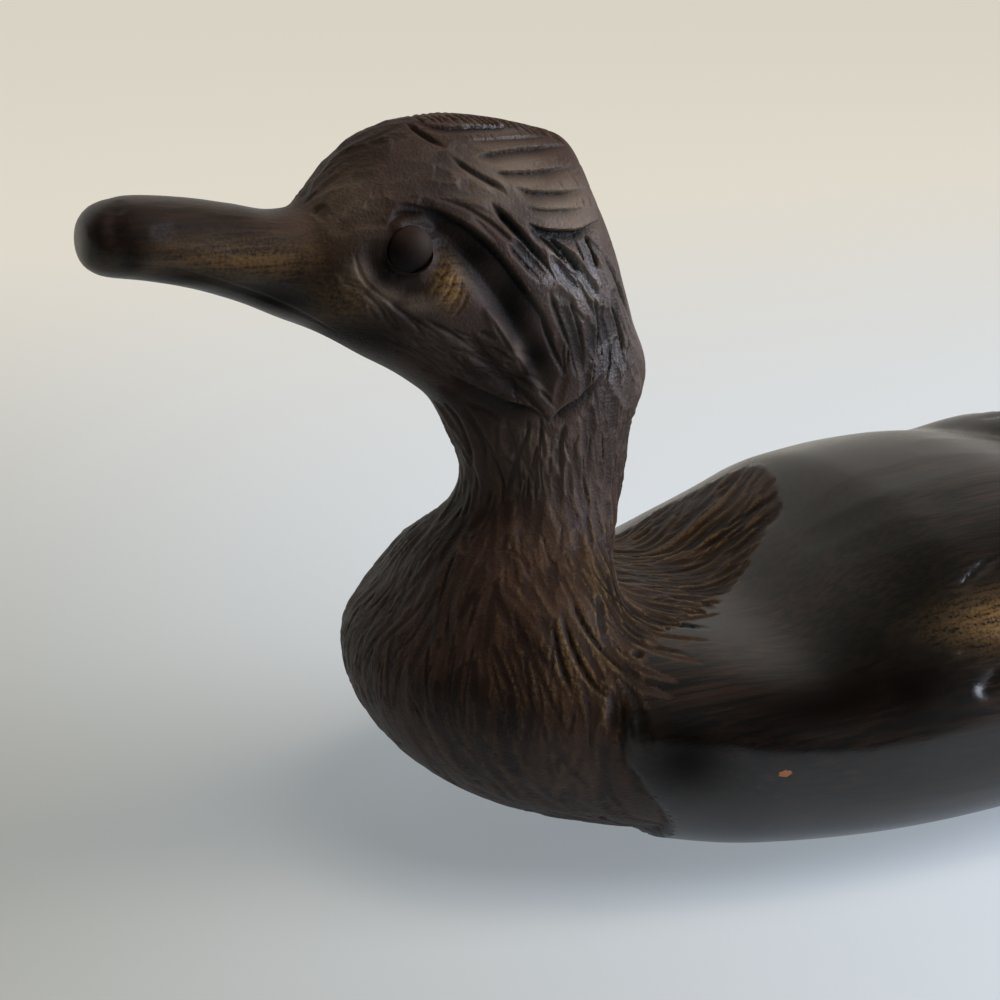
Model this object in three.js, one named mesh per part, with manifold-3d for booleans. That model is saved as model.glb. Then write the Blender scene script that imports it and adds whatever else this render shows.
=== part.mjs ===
// A carved wooden duck decoy of the hollow-bodied kind, in millimetres, +Z up.
// The bird faces -X and its left side faces -Y. The origin is under the middle of its length, on the surface that
// it stands on. The body is one block with its wings and tail, hollowed from below and closed by an oval board.
// Head, bill and neck are a second block, seated on a flat of the body and held by a dowel and a screw. The glass
// eyes sit in drilled sockets, each with a wire shank in a hole of its own.
import * as THREE from "three";
import { mergeVertices } from "three/addons/utils/BufferGeometryUtils.js";
import Module from "manifold-3d";

const wasm = await Module();
wasm.setup();

// Overall sizes
const BODY_LENGTH = 321; // breast to tip of the tail
const BODY_WIDTH = 148;
const BODY_HEIGHT = 80; // standing surface to top of the back
const NECK_RISE = 72; // from the flat that the head block is glued to, up to the eyes
const BILL_REACH = 59; // how far the bill reaches ahead of the breast
const FIT = 0.3; // clearance round every piece that sits in another
const SEAT_DROP = 3; // how far that flat lies under the top of the back

const BILL_TIP_X = -(BODY_LENGTH + BILL_REACH) / 2;
const BREAST_X = BILL_TIP_X + BILL_REACH;
const NECK_SEAT_Z = BODY_HEIGHT - SEAT_DROP;
const EYE_Z = NECK_SEAT_Z + NECK_RISE;
const OUTSIDE = BODY_WIDTH; // how far a cutting solid reaches past what it cuts

// Body outline: [distance behind the breast, share of the body's height], and for the plan of its half width
const BACK_LINE = [
  [0, 0.89], [69, 0.75], [93, 0.69], [115, 0.82], [139, 0.97], [167, 1], [197, 0.95], [229, 0.85], [261, 0.76],
  [291, 0.76], [321, 0.85],
];
const KEEL_LINE = [
  [0, -0.04], [71, -0.04], [186, -0.04], [216, 0.04], [241, 0.18], [269, 0.41], [296, 0.63], [321, 0.75],
];
const WAIST_LINE = [
  [0, 0.59], [31, 0.55], [81, 0.46], [131, 0.42], [171, 0.45], [216, 0.55], [261, 0.65], [296, 0.72], [321, 0.8],
];
const PLAN_LINE = [
  [0, 0.81], [31, 0.81], [56, 0.84], [81, 0.93], [116, 0.99], [151, 1], [186, 0.96], [226, 0.81], [261, 0.6],
  [291, 0.46], [321, 0.38],
];
const UPPER_POWER = 2.1; // squareness of the body's sections: 2 is an ellipse
const LOWER_POWER_LINE = [[0, 2], [41, 2], [81, 2.4], [131, 2.7], [191, 2.5], [251, 2.1], [321, 2]];
const BREAST_PLAN_ROUNDING = 62; // length over which the breast rounds off, seen from above
const BREAST_TOP_ROUNDING = 40;
const BREAST_UNDER_ROUNDING = 98;
const TAIL_ROUNDING = 22;
const TAIL_END_SHARE = 0.35; // width of the tail's squared end, as a share of the tail's width

// Head outline: [distance behind the tip of the bill, top, waist and bottom over the eyes' height, half width]
const HEAD_STATIONS = [
  [0, 6, 3, 0, 4],
  [1.5, 9, 3, -2.2, 7.5],
  [5, 11.5, 3, -4, 10],
  [11, 12.5, 2.5, -5, 11.2],
  [22, 11.5, 0.5, -7.6, 11.6],
  [34, 9.2, -2.5, -12, 12],
  [43, 7.3, -5, -16.4, 12.8],
  [48, 7.5, -6, -18.6, 14.5],
  [52, 12.5, -6, -20.6, 16.5],
  [57, 18.5, -6, -23.6, 18.5],
  [63, 22.8, -6, -27.5, 20],
  [71, 25.5, -7, -32.5, 21.5],
  [80, 26.3, -8, -39, 22.5],
  [92, 25, -10, -43, 23],
  [104, 22.3, -12, -45, 22],
  [112, 19.5, -14, -44, 20],
  [117, 10, -16, -40, 17.5],
  [121, 1, -17, -35, 14.5],
  [125, -11, -22, -32, 11],
  [129, -21, -26, -30, 7],
];
const HEAD_UPPER_POWER = 1.75;
const HEAD_LOWER_POWER = 2;

// Neck outline, downwards: [height over its seat, distance of its middle behind the breast, half length, half width]
const NECK_STATIONS = [
  [65, 41, 22, 15],
  [51, 44.5, 25, 17],
  [36, 48, 28, 18.5],
  [23, 48.4, 23.4, 18],
  [14, 49.4, 20.8, 17.5],
  [7, 48.5, 20.6, 18.8],
  [0, 43.5, 23.2, 23.5],
  [-4.5, 40.5, 24.5, 30],
  [-9, 38.5, 24.5, 38],
  [-15, 37, 24, 44],
];
const HEAD_BLOCK_REACH = 79; // nothing of the head block lies farther behind the breast

// Folded wing: [distance behind the breast, distance from the middle, drop under the back's top, half width, half depth]
const WING_STATIONS = [
  [161, 31, 15.5, 12, 8],
  [183, 28, 6, 18, 9],
  [207, 23.5, 1.7, 19, 9],
  [233, 18.5, 1.7, 16.5, 7.5],
  [257, 13, 3.2, 12, 6],
  [275, 8.8, 4.5, 7.5, 4],
  [285, 6, 5.2, 3, 2],
];

// Dowel and screw of the neck
const DOWEL_SETBACK = 39; // behind the breast
const DOWEL_RADIUS = 4;
const DOWEL_HALF_LENGTH = 20;
const NECK_SCREW_SETBACK = 58; // behind the breast
const NECK_SCREW_RADIUS = 2.4;
const NECK_SCREW_HEAD_RADIUS = 4.5;
const NECK_SCREW_HEAD_DEPTH = 3;
const NECK_SCREW_GRIP = 27; // how far the screw reaches into the neck
const WASHER_RADIUS = 5.6;
const WASHER_THICKNESS = 1.2;
const WELL_RADIUS = WASHER_RADIUS + 2 * FIT; // the well drilled from below for the screw's head
const WELL_TOP_Z = 42;
const PLUG_TOP_Z = 16; // a turned plug closes the well below this

const DOWEL_X = BREAST_X + DOWEL_SETBACK;
const NECK_SCREW_X = BREAST_X + NECK_SCREW_SETBACK;

// Board under the body, and the hollow above it
const BOARD_HALF_LENGTH = 58;
const BOARD_HALF_WIDTH = 24;
const BOARD_THICKNESS = 6;
const WELL_TO_BOARD = 3.8; // wood left between the well and the board
const BOARD_X = NECK_SCREW_X + WELL_RADIUS + WELL_TO_BOARD + BOARD_HALF_LENGTH;
const LEDGE = 9; // width of the ledge round the hollow, on which the board rests
const HOLLOW_TOP_Z = 46;

// Countersunk screws of the board
const BOARD_SCREWS = 6;
const BOARD_SCREW_LENGTH = 16;
const BOARD_SCREW_RADIUS = 1.4;
const BOARD_SCREW_HEAD_RADIUS = 2.8;
const BOARD_SCREW_HEAD_DEPTH = 1.7;
const BOARD_SCREW_RECESS = 0.4; // each head lies this far inside the board
const SLOT_WIDTH = 0.8;
const SLOT_DEPTH = 0.8;

// Glass eyes; distances along Y are from the middle of the head
const EYE_SETBACK = 67; // behind the tip of the bill
const EYE_RADIUS = 5;
const SOCKET_FLOOR_Y = 14;
const EYE_RIM_Y = 19; // where the eye's dome starts
const EYE_DOME = 2.8;
const EYE_WIRE_RADIUS = 0.5;
const EYE_WIRE_LENGTH = 10;

const EYE_X = BILL_TIP_X + EYE_SETBACK;

// Fineness of the forms
const BODY_RINGS = 34;
const BODY_POINTS = 44;
const HEAD_POINTS = 28;
const NECK_POINTS = 28;
const WING_POINTS = 16;
const ROUND_SIDES = 24;

// Monotone cubic through [x, value] pairs: smooth, and never past its points.
function through(points) {
  const last = points.length - 1;
  const slopes = points.slice(1).map(([x, y], i) => (y - points[i][1]) / (x - points[i][0]));
  const tangents = points.map((_, i) => {
    if (i === 0) return slopes[0];
    if (i === last) return slopes[last - 1];
    const [before, after] = [slopes[i - 1], slopes[i]];
    return before * after <= 0 ? 0 : (2 * before * after) / (before + after);
  });
  return (x) => {
    const at = THREE.MathUtils.clamp(x, points[0][0], points[last][0]);
    const i = THREE.MathUtils.clamp(points.findIndex(([end]) => at <= end) - 1, 0, last - 1);
    const [[x0, y0], [x1, y1]] = [points[i], points[i + 1]];
    const span = x1 - x0;
    const t = (at - x0) / span;
    const [lift0, lift1] = [tangents[i] * span, tangents[i + 1] * span];
    return y0 + t * (lift0 + t * (3 * (y1 - y0) - 2 * lift0 - lift1 + t * (2 * (y0 - y1) + lift0 + lift1)));
  };
}

// How full a section is at a distance from a rounded end: 0 at the tip, 1 from the rounding's length on.
function rounded(distance, length) {
  const left = 1 - THREE.MathUtils.clamp(distance / length, 0, 1);
  return Math.sqrt(1 - left * left);
}

// Points round a superellipse, as [across, up], with its own rise and power above and below the waist.
function ring(count, { halfWidth, top, waist, bottom, upper = 2, lower = 2 }) {
  return Array.from({ length: count }, (_, i) => {
    const angle = (2 * Math.PI * i) / count;
    const [c, s] = [Math.cos(angle), Math.sin(angle)];
    const [power, rise] = s >= 0 ? [upper, top - waist] : [lower, waist - bottom];
    const across = halfWidth * Math.sign(c) * Math.abs(c) ** (2 / power);
    return [across, waist + rise * Math.sign(s) * Math.abs(s) ** (2 / power)];
  });
}

// One closed geometry through rings of equal count, capped at both ends.
function loft(rings) {
  const count = rings[0].length;
  const last = (rings.length - 1) * count;
  const index = [];
  for (let start = 0; start < last; start += count) {
    for (let i = 0; i < count; i += 1) {
      const [a, b] = [start + i, start + ((i + 1) % count)];
      index.push(a, b, b + count, a, b + count, a + count);
    }
  }
  for (let i = 1; i < count - 1; i += 1) {
    index.push(0, i + 1, i, last, last + i, last + i + 1);
  }
  const geometry = new THREE.BufferGeometry();
  geometry.setAttribute("position", new THREE.Float32BufferAttribute(rings.flat(2), 3));
  return geometry.setIndex(index);
}

// A manifold-3d solid from a closed geometry.
function solid(geometry) {
  const bare = geometry.clone();
  bare.deleteAttribute("normal");
  bare.deleteAttribute("uv");
  const merged = mergeVertices(bare, 1e-3);
  return new wasm.Manifold(new wasm.Mesh({
    numProp: 3,
    vertProperties: merged.attributes.position.array,
    triVerts: new Uint32Array(merged.index.array),
  }));
}

// A geometry from a manifold-3d solid.
function geometryOf(form) {
  const { vertProperties, triVerts } = form.getMesh();
  const geometry = new THREE.BufferGeometry();
  geometry.setAttribute("position", new THREE.BufferAttribute(vertProperties, 3));
  return geometry.setIndex(new THREE.BufferAttribute(triVerts, 1));
}

// A box given by its lowest and highest corners.
function box(low, high) {
  const size = high.map((value, i) => value - low[i]);
  const middle = high.map((value, i) => (value + low[i]) / 2);
  return solid(new THREE.BoxGeometry(...size).translate(...middle));
}

// A solid turned about an upright axis, from [radius, height] points.
function turned(x, y, profile) {
  const points = profile.map(([radius, height]) => new THREE.Vector2(radius, height));
  return solid(new THREE.LatheGeometry(points, ROUND_SIDES).rotateX(Math.PI / 2).translate(x, y, 0));
}

function pin(x, y, radius, low, high) {
  return turned(x, y, [[0, low], [radius, low], [radius, high], [0, high]]);
}

// A solid turned about the eyes' axis, from [radius, distance from the middle of the head] points.
// The side is -1 on the bird's left and 1 on its right.
function turnedAcross(side, profile) {
  const points = profile.map(([radius, distance]) => new THREE.Vector2(radius, distance));
  const form = new THREE.LatheGeometry(points, ROUND_SIDES);
  return solid(form.rotateX(side < 0 ? Math.PI : 0).translate(EYE_X, 0, EYE_Z));
}

function pinAcross(side, radius, near, far) {
  return turnedAcross(side, [[0, near], [radius, near], [radius, far], [0, far]]);
}

// An upright oval solid over the middle of the board.
function oval(halfLength, halfWidth, low, high) {
  const outline = new THREE.Shape().absellipse(0, 0, halfLength, halfWidth, 0, 2 * Math.PI);
  const plate = new THREE.ExtrudeGeometry(outline, { depth: high - low, bevelEnabled: false, curveSegments: 24 });
  return solid(plate.translate(BOARD_X, 0, low));
}

function bodyForm() {
  const [back, keel, waist, plan] = [BACK_LINE, KEEL_LINE, WAIST_LINE, PLAN_LINE].map(through);
  const lowerPower = through(LOWER_POWER_LINE);
  const firstStep = 0.6; // a part of a step, so that the breast starts with a small flat instead of a point
  const rings = [];
  for (let r = 0; r <= BODY_RINGS; r += 1) {
    const turn = (Math.PI * (r + firstStep)) / (BODY_RINGS + firstStep);
    const along = (BODY_LENGTH * (1 - Math.cos(turn))) / 2;
    const tail = TAIL_END_SHARE + (1 - TAIL_END_SHARE) * rounded(BODY_LENGTH - along, TAIL_ROUNDING);
    const middle = BODY_HEIGHT * waist(along);
    rings.push(ring(BODY_POINTS, {
      halfWidth: (BODY_WIDTH / 2) * plan(along) * rounded(along, BREAST_PLAN_ROUNDING) * tail,
      top: middle + (BODY_HEIGHT * back(along) - middle) * rounded(along, BREAST_TOP_ROUNDING),
      waist: middle,
      bottom: middle - (middle - BODY_HEIGHT * keel(along)) * rounded(along, BREAST_UNDER_ROUNDING),
      upper: UPPER_POWER,
      lower: lowerPower(along),
    }).map(([y, z]) => [BREAST_X + along, y, z]));
  }
  return solid(loft(rings));
}

function headForm() {
  const [upper, lower] = [HEAD_UPPER_POWER, HEAD_LOWER_POWER];
  return solid(loft(HEAD_STATIONS.map(([along, top, waist, bottom, halfWidth]) =>
    ring(HEAD_POINTS, { halfWidth, top, waist, bottom, upper, lower })
      .map(([y, z]) => [BILL_TIP_X + along, y, EYE_Z + z]))));
}

function neckForm() {
  const upwards = [...NECK_STATIONS].reverse();
  return solid(loft(upwards.map(([rise, along, halfLength, halfWidth]) =>
    ring(NECK_POINTS, { halfWidth: halfLength, top: halfWidth, waist: 0, bottom: -halfWidth })
      .map(([x, y]) => [BREAST_X + along + x, y, NECK_SEAT_Z + rise]))));
}

function wingForm(side) {
  return solid(loft(WING_STATIONS.map(([along, distance, drop, halfWidth, halfDepth]) =>
    ring(WING_POINTS, { halfWidth, top: -drop, waist: -drop - halfDepth, bottom: -drop - 2 * halfDepth })
      .map(([y, z]) => [BREAST_X + along, side * distance + y, BODY_HEIGHT + z]))));
}

function eyeForm(side) {
  const steps = 6;
  const dome = [];
  for (let i = 0; i < steps; i += 1) {
    const angle = (Math.PI / 2) * (i / steps);
    dome.push([EYE_RADIUS * Math.cos(angle), EYE_RIM_Y + EYE_DOME * Math.sin(angle)]);
  }
  const back = SOCKET_FLOOR_Y + FIT;
  return turnedAcross(side, [[0, back], [EYE_RADIUS, back], ...dome, [0, EYE_RIM_Y + EYE_DOME]]);
}

const SCREW_SHOULDER_Z = BOARD_SCREW_RECESS + BOARD_SCREW_HEAD_DEPTH;
const SCREW_END_Z = BOARD_SCREW_RECESS + BOARD_SCREW_LENGTH;

function boardScrew(x, y) {
  const [head, shank, foot] = [BOARD_SCREW_HEAD_RADIUS, BOARD_SCREW_RADIUS, BOARD_SCREW_RECESS];
  const slot = box(
    [x - head - FIT, y - SLOT_WIDTH / 2, foot - SLOT_DEPTH],
    [x + head + FIT, y + SLOT_WIDTH / 2, foot + SLOT_DEPTH],
  );
  const profile = [[0, foot], [head, foot], [shank, SCREW_SHOULDER_Z], [shank, SCREW_END_Z], [0, SCREW_END_Z]];
  return turned(x, y, profile).subtract(slot);
}

function boardScrewHole(x, y) {
  const [head, shank, end] = [BOARD_SCREW_HEAD_RADIUS + FIT, BOARD_SCREW_RADIUS + FIT, SCREW_END_Z + FIT];
  const sink = [[0, -OUTSIDE], [head, -OUTSIDE], [head, BOARD_SCREW_RECESS]];
  return turned(x, y, [...sink, [shank, SCREW_SHOULDER_Z], [shank, end], [0, end]]);
}

const SIDES = [["left", -1], ["right", 1]];
const screwPlaces = Array.from({ length: BOARD_SCREWS }, (_, i) => {
  const angle = (2 * Math.PI * i) / BOARD_SCREWS;
  return [
    BOARD_X + (BOARD_HALF_LENGTH - LEDGE / 2) * Math.cos(angle),
    (BOARD_HALF_WIDTH - LEDGE / 2) * Math.sin(angle),
  ];
});
const EYE_WIRE_END_Y = SOCKET_FLOOR_Y - EYE_WIRE_LENGTH;
const NECK_SCREW_END_Z = NECK_SEAT_Z + NECK_SCREW_GRIP;
const WASHER_Z = WELL_TOP_Z - WASHER_THICKNESS;
const [DOWEL_LOW_Z, DOWEL_HIGH_Z] = [NECK_SEAT_Z - DOWEL_HALF_LENGTH, NECK_SEAT_Z + DOWEL_HALF_LENGTH];

// The whole carving, cut flat underneath, and then every hole that the fitted pieces need
const underneath = box([-BODY_LENGTH, -BODY_WIDTH, -OUTSIDE], [BODY_LENGTH, BODY_WIDTH, 0]);
const carving = [headForm(), neckForm(), ...SIDES.map(([, side]) => wingForm(side))]
  .reduce((whole, form) => whole.add(form), bodyForm())
  .subtract(underneath);
const holes = [
  oval(BOARD_HALF_LENGTH + FIT, BOARD_HALF_WIDTH + FIT, -OUTSIDE, BOARD_THICKNESS),
  oval(BOARD_HALF_LENGTH - LEDGE, BOARD_HALF_WIDTH - LEDGE, 0, HOLLOW_TOP_Z),
  pin(NECK_SCREW_X, 0, WELL_RADIUS, -OUTSIDE, WELL_TOP_Z),
  pin(NECK_SCREW_X, 0, NECK_SCREW_RADIUS + FIT, 0, NECK_SCREW_END_Z + FIT),
  pin(DOWEL_X, 0, DOWEL_RADIUS + FIT, DOWEL_LOW_Z - FIT, DOWEL_HIGH_Z + FIT),
  ...screwPlaces.map(([x, y]) => boardScrewHole(x, y)),
  ...SIDES.map(([, side]) => pinAcross(side, EYE_RADIUS + FIT, SOCKET_FLOOR_Y, OUTSIDE)),
  ...SIDES.map(([, side]) => pinAcross(side, EYE_WIRE_RADIUS + FIT, EYE_WIRE_END_Y - FIT, OUTSIDE)),
];
const drilled = holes.reduce((rest, hole) => rest.subtract(hole), carving);
const headZone = box(
  [BILL_TIP_X - OUTSIDE, -BODY_WIDTH, NECK_SEAT_Z],
  [BREAST_X + HEAD_BLOCK_REACH, BODY_WIDTH, NECK_SEAT_Z + OUTSIDE],
);

const bird = new THREE.Group();
function addPiece(name, form, finish) {
  const mesh = new THREE.Mesh(geometryOf(form), new THREE.MeshStandardMaterial(finish));
  mesh.name = name;
  bird.add(mesh);
}

const stainedWood = { color: 0x3a2a22, roughness: 0.35, metalness: 0 };
const bareWood = { color: 0xb98d5c, roughness: 0.7, metalness: 0 };
const steel = { color: 0x9a9a96, roughness: 0.35, metalness: 1 };
const brass = { color: 0xb5903f, roughness: 0.3, metalness: 1 };
const glass = { color: 0x120c08, roughness: 0.05, metalness: 0 };

addPiece("body_block", drilled.subtract(headZone), stainedWood);
addPiece("head_block", drilled.intersect(headZone), stainedWood);
addPiece("screw_plug", carving.intersect(pin(NECK_SCREW_X, 0, WELL_RADIUS - FIT, -OUTSIDE, PLUG_TOP_Z)), stainedWood);

const wholeBoard = oval(BOARD_HALF_LENGTH, BOARD_HALF_WIDTH, 0, BOARD_THICKNESS);
const board = screwPlaces.reduce((rest, [x, y]) => rest.subtract(boardScrewHole(x, y)), wholeBoard);
addPiece("bottom_board", board, stainedWood);
screwPlaces.forEach(([x, y], i) => addPiece(`board_screw_${i + 1}`, boardScrew(x, y), brass));

addPiece("neck_dowel", pin(DOWEL_X, 0, DOWEL_RADIUS, DOWEL_LOW_Z, DOWEL_HIGH_Z), bareWood);
const shank = pin(NECK_SCREW_X, 0, NECK_SCREW_RADIUS, WASHER_Z, NECK_SCREW_END_Z);
const screwHead = pin(NECK_SCREW_X, 0, NECK_SCREW_HEAD_RADIUS, WASHER_Z - NECK_SCREW_HEAD_DEPTH, WASHER_Z);
addPiece("neck_screw", shank.add(screwHead), steel);
const washerHole = pin(NECK_SCREW_X, 0, NECK_SCREW_RADIUS + FIT, 0, NECK_SEAT_Z);
addPiece("neck_washer", pin(NECK_SCREW_X, 0, WASHER_RADIUS, WASHER_Z, WELL_TOP_Z).subtract(washerHole), steel);

for (const [name, side] of SIDES) {
  addPiece(`${name}_eye`, eyeForm(side), glass);
  addPiece(`${name}_eye_wire`, pinAcross(side, EYE_WIRE_RADIUS, EYE_WIRE_END_Y, SOCKET_FLOOR_Y), steel);
}

export default bird;
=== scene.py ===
"""A carved and dark-stained duck decoy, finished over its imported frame.

The bird's outline repeats the sizes of the part's source. The whole carving is formed in millimetres as one
body of wood, marked with the carver's tools, split at the neck's seat into its two blocks, and drilled for
what it holds.
"""
from __future__ import annotations

import logging
import math
from collections.abc import Callable, Iterable, Sequence
from dataclasses import dataclass, field
from enum import Enum
from typing import Any

import bmesh
import bpy
import numpy as np
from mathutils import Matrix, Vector
from mathutils.bvhtree import BVHTree

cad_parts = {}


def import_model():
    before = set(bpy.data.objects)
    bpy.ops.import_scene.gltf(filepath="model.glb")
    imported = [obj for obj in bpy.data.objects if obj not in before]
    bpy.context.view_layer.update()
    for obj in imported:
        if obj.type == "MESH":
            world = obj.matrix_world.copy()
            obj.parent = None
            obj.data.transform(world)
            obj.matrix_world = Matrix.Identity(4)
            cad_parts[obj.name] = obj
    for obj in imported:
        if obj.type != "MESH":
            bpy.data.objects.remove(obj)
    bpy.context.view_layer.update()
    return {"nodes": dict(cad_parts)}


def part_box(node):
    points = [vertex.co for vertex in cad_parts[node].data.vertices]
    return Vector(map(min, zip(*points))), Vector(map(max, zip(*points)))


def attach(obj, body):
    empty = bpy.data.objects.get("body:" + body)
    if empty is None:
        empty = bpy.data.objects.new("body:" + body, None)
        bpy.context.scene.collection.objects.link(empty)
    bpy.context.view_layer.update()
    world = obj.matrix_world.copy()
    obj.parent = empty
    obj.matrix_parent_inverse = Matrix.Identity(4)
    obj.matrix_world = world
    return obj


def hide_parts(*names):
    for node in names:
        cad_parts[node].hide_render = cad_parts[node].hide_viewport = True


log = logging.getLogger("decoy")

MM = 0.001
Form = bpy.types.Object
Tree = bpy.types.NodeTree
Array = np.ndarray
Pair = tuple[float, float]
Triple = tuple[float, float, float]
Outline = Sequence[Pair]
Curve = Callable[[Array], Array]


class View(Enum):
    """What flat points are laid onto the bird from."""

    TOP = "above, in millimetres along and across the bird"
    PHOTO = "the photograph's camera, in the photograph's pixels"


class Tool(Enum):
    """What made a cut, which gives its section."""

    VEINER = "a narrow V with crisp edges"
    GOUGE = "a round scoop with crisp edges"
    RASP = "a soft hollow with no edges"
    KNIFE = "a wall on the near side and a long slope on the far side, as a feather lies over the next"


VEINER, GOUGE, RASP, KNIFE = Tool


def srgb(code: str) -> tuple[float, float, float, float]:
    """Turns an sRGB hex colour to linear.

    Args:
        code: Six hex digits.

    Returns:
        Linear red, green and blue, and an alpha of 1.
    """
    parts = [int(code[i:i + 2], 16) / 255 for i in (0, 2, 4)]
    red, green, blue = (v / 12.92 if v <= 0.04045 else ((v + 0.055) / 1.055) ** 2.4 for v in parts)
    return red, green, blue, 1.0


def through(points: Outline) -> Curve:
    """Draws a monotone cubic through points, smooth and never past them.

    Args:
        points: Pairs of distance and value, by rising distance.

    Returns:
        A function from distances to values.
    """
    x, y = np.array(points, float).T
    slopes = np.diff(y) / np.diff(x)
    before, after = slopes[:-1], slopes[1:]
    same_way = before * after > 0
    inner = np.where(same_way, 2 * before * after / np.where(same_way, before + after, 1), 0)
    tangents = np.concatenate([slopes[:1], inner, slopes[-1:]])

    def value(at: Array) -> Array:
        """Gives the curve's values at these distances.

        Args:
            at: The distances.

        Returns:
            A value for each.
        """
        at = np.clip(at, x[0], x[-1])
        i = np.clip(np.searchsorted(x, at) - 1, 0, len(slopes) - 1)
        span = x[i + 1] - x[i]
        t = (at - x[i]) / span
        lift0, lift1, rise = tangents[i] * span, tangents[i + 1] * span, y[i + 1] - y[i]
        return y[i] + t * (lift0 + t * (3 * rise - 2 * lift0 - lift1 + t * (lift0 + lift1 - 2 * rise)))

    return value


def rounded(distance: Array, length: float) -> Array:
    """Tells how full a section is near a rounded end: 0 at the tip, 1 from the rounding's length on."""
    left = 1 - np.clip(distance / length, 0, 1)
    return np.sqrt(1 - left * left)


def eased(value: Array, low: float, high: float) -> Array:
    """Rises smoothly from 0 at low to 1 at high."""
    t = np.clip((value - low) / (high - low), 0, 1)
    return t * t * (3 - 2 * t)


def ring(count: int, half_width: float, top: float, waist: float, bottom: float,
         upper: float = 2.0, lower: float = 2.0) -> Array:
    """Lays points round a superellipse.

    Args:
        count: How many points.
        half_width: Half of its width at the waist.
        top: Height of its highest point.
        waist: Height of its widest place.
        bottom: Height of its lowest point.
        upper: Squareness above the waist, where 2 is an ellipse.
        lower: Squareness below the waist.

    Returns:
        Points as (across, up).
    """
    angle = 2 * math.pi * np.arange(count) / count
    c, s = np.cos(angle), np.sin(angle)
    power = np.where(s >= 0, upper, lower)
    rise = np.where(s >= 0, top - waist, waist - bottom)
    across = half_width * np.sign(c) * np.abs(c) ** (2 / power)
    return np.stack([across, waist + rise * np.sign(s) * np.abs(s) ** (2 / power)], axis=1)


def cosine_steps(count: int, length: float) -> Array:
    """Gives distances from 0 to the length, closer together at both ends."""
    return length * (1 - np.cos(math.pi * np.arange(count + 1) / count)) / 2


def new_object(name: str, points: Array, faces: Sequence[Sequence[int]]) -> Form:
    """Adds a mesh object to the scene.

    Args:
        name: The object's name.
        points: Its points, in millimetres.
        faces: Its faces.

    Returns:
        The object, with its mesh in metres.
    """
    mesh = bpy.data.meshes.new(name)
    mesh.from_pydata((points * MM).tolist(), [], faces)
    mesh.validate()
    obj = bpy.data.objects.new(name, mesh)
    bpy.context.scene.collection.objects.link(obj)
    return obj


def loft(name: str, rings: Array) -> Form:
    """Skins rings of equal count into one closed form, capped at both ends.

    Args:
        name: The object's name.
        rings: Points by ring, in millimetres.

    Returns:
        The form.
    """
    total, count, _ = rings.shape
    last = (total - 1) * count
    faces: list[tuple[int, ...]] = [tuple(range(count))[::-1], tuple(range(last, last + count))]
    for start in range(0, last, count):
        for i in range(count):
            a, b = start + i, start + (i + 1) % count
            faces.append((a, b, b + count, a + count))
    return new_object(name, rings.reshape(-1, 3), faces)


def turned(name: str, profile: Outline, steps: int = 48) -> Form:
    """Turns a profile about the upright axis through the origin.

    Args:
        name: The object's name.
        profile: Pairs of radius and height, in millimetres, from one end on the axis to the other.
        steps: Sides of the round.

    Returns:
        The closed form, with its two ends as fans.
    """
    inner = profile[1:-1]
    points = [(0.0, 0.0, profile[0][1]), (0.0, 0.0, profile[-1][1])]
    for radius, height in inner:
        for i in range(steps):
            angle = 2 * math.pi * i / steps
            points.append((radius * math.cos(angle), radius * math.sin(angle), height))
    last = 2 + (len(inner) - 1) * steps
    faces: list[tuple[int, ...]] = []
    for i in range(steps):
        j = (i + 1) % steps
        faces.append((0, 2 + j, 2 + i))
        faces.append((1, last + i, last + j))
        for row in range(2, last, steps):
            faces.append((row + i, row + j, row + j + steps, row + i + steps))
    return new_object(name, np.array(points), faces)


def applied(obj: Form) -> Form:
    """Bakes the object's modifiers and its transform into its mesh.

    Args:
        obj: The object.

    Returns:
        The same object, with nothing left to apply.
    """
    graph = bpy.context.evaluated_depsgraph_get()
    graph.update()
    mesh = bpy.data.meshes.new_from_object(
        obj.evaluated_get(graph), preserve_all_data_layers=True, depsgraph=graph)
    old = obj.data
    obj.modifiers.clear()
    obj.data = mesh
    bpy.data.meshes.remove(old)
    mesh.transform(obj.matrix_basis)
    obj.matrix_basis.identity()
    return obj


def joined(name: str, parts: Sequence[Form]) -> Form:
    """Puts several meshes into one object and drops the loose ones.

    Args:
        name: The new object's name.
        parts: The loose meshes' objects.

    Returns:
        The new object.
    """
    points: list[Array] = []
    faces: list[list[int]] = []
    start = 0
    for part in parts:
        here = points_of(part)
        points.append(here)
        faces.extend([[start + v for v in face.vertices] for face in part.data.polygons])
        start += len(here)
        discard(part)
    return new_object(name, np.concatenate(points), faces)


def discard(obj: Form) -> None:
    """Removes an object and its mesh."""
    mesh = obj.data
    bpy.data.objects.remove(obj)
    bpy.data.meshes.remove(mesh)


def points_of(obj: Form) -> Array:
    """Reads a mesh's points, in millimetres."""
    flat = np.empty(len(obj.data.vertices) * 3)
    obj.data.vertices.foreach_get("co", flat)
    return flat.reshape(-1, 3) / MM


def normals_of(obj: Form) -> Array:
    """Reads a mesh's point normals."""
    flat = np.empty(len(obj.data.vertices) * 3, dtype=np.float32)
    obj.data.vertex_normals.foreach_get("vector", flat)
    return flat.reshape(-1, 3).astype(float)


def set_points(obj: Form, points: Array) -> None:
    """Moves a mesh's points, given in millimetres."""
    obj.data.vertices.foreach_set("co", (points * MM).ravel())
    obj.data.update()


def cut_by(obj: Form, cutter: Form, operation: str) -> Form:
    """Cuts or trims a form with another one, which is then discarded.

    Args:
        obj: The form.
        cutter: The other form.
        operation: INTERSECT, DIFFERENCE or UNION.

    Returns:
        The form, with the cut applied.
    """
    modifier = obj.modifiers.new("cut", "BOOLEAN")
    modifier.operation = operation
    modifier.solver = "MANIFOLD"
    modifier.object = cutter
    applied(obj)
    discard(cutter)
    return obj


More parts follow.
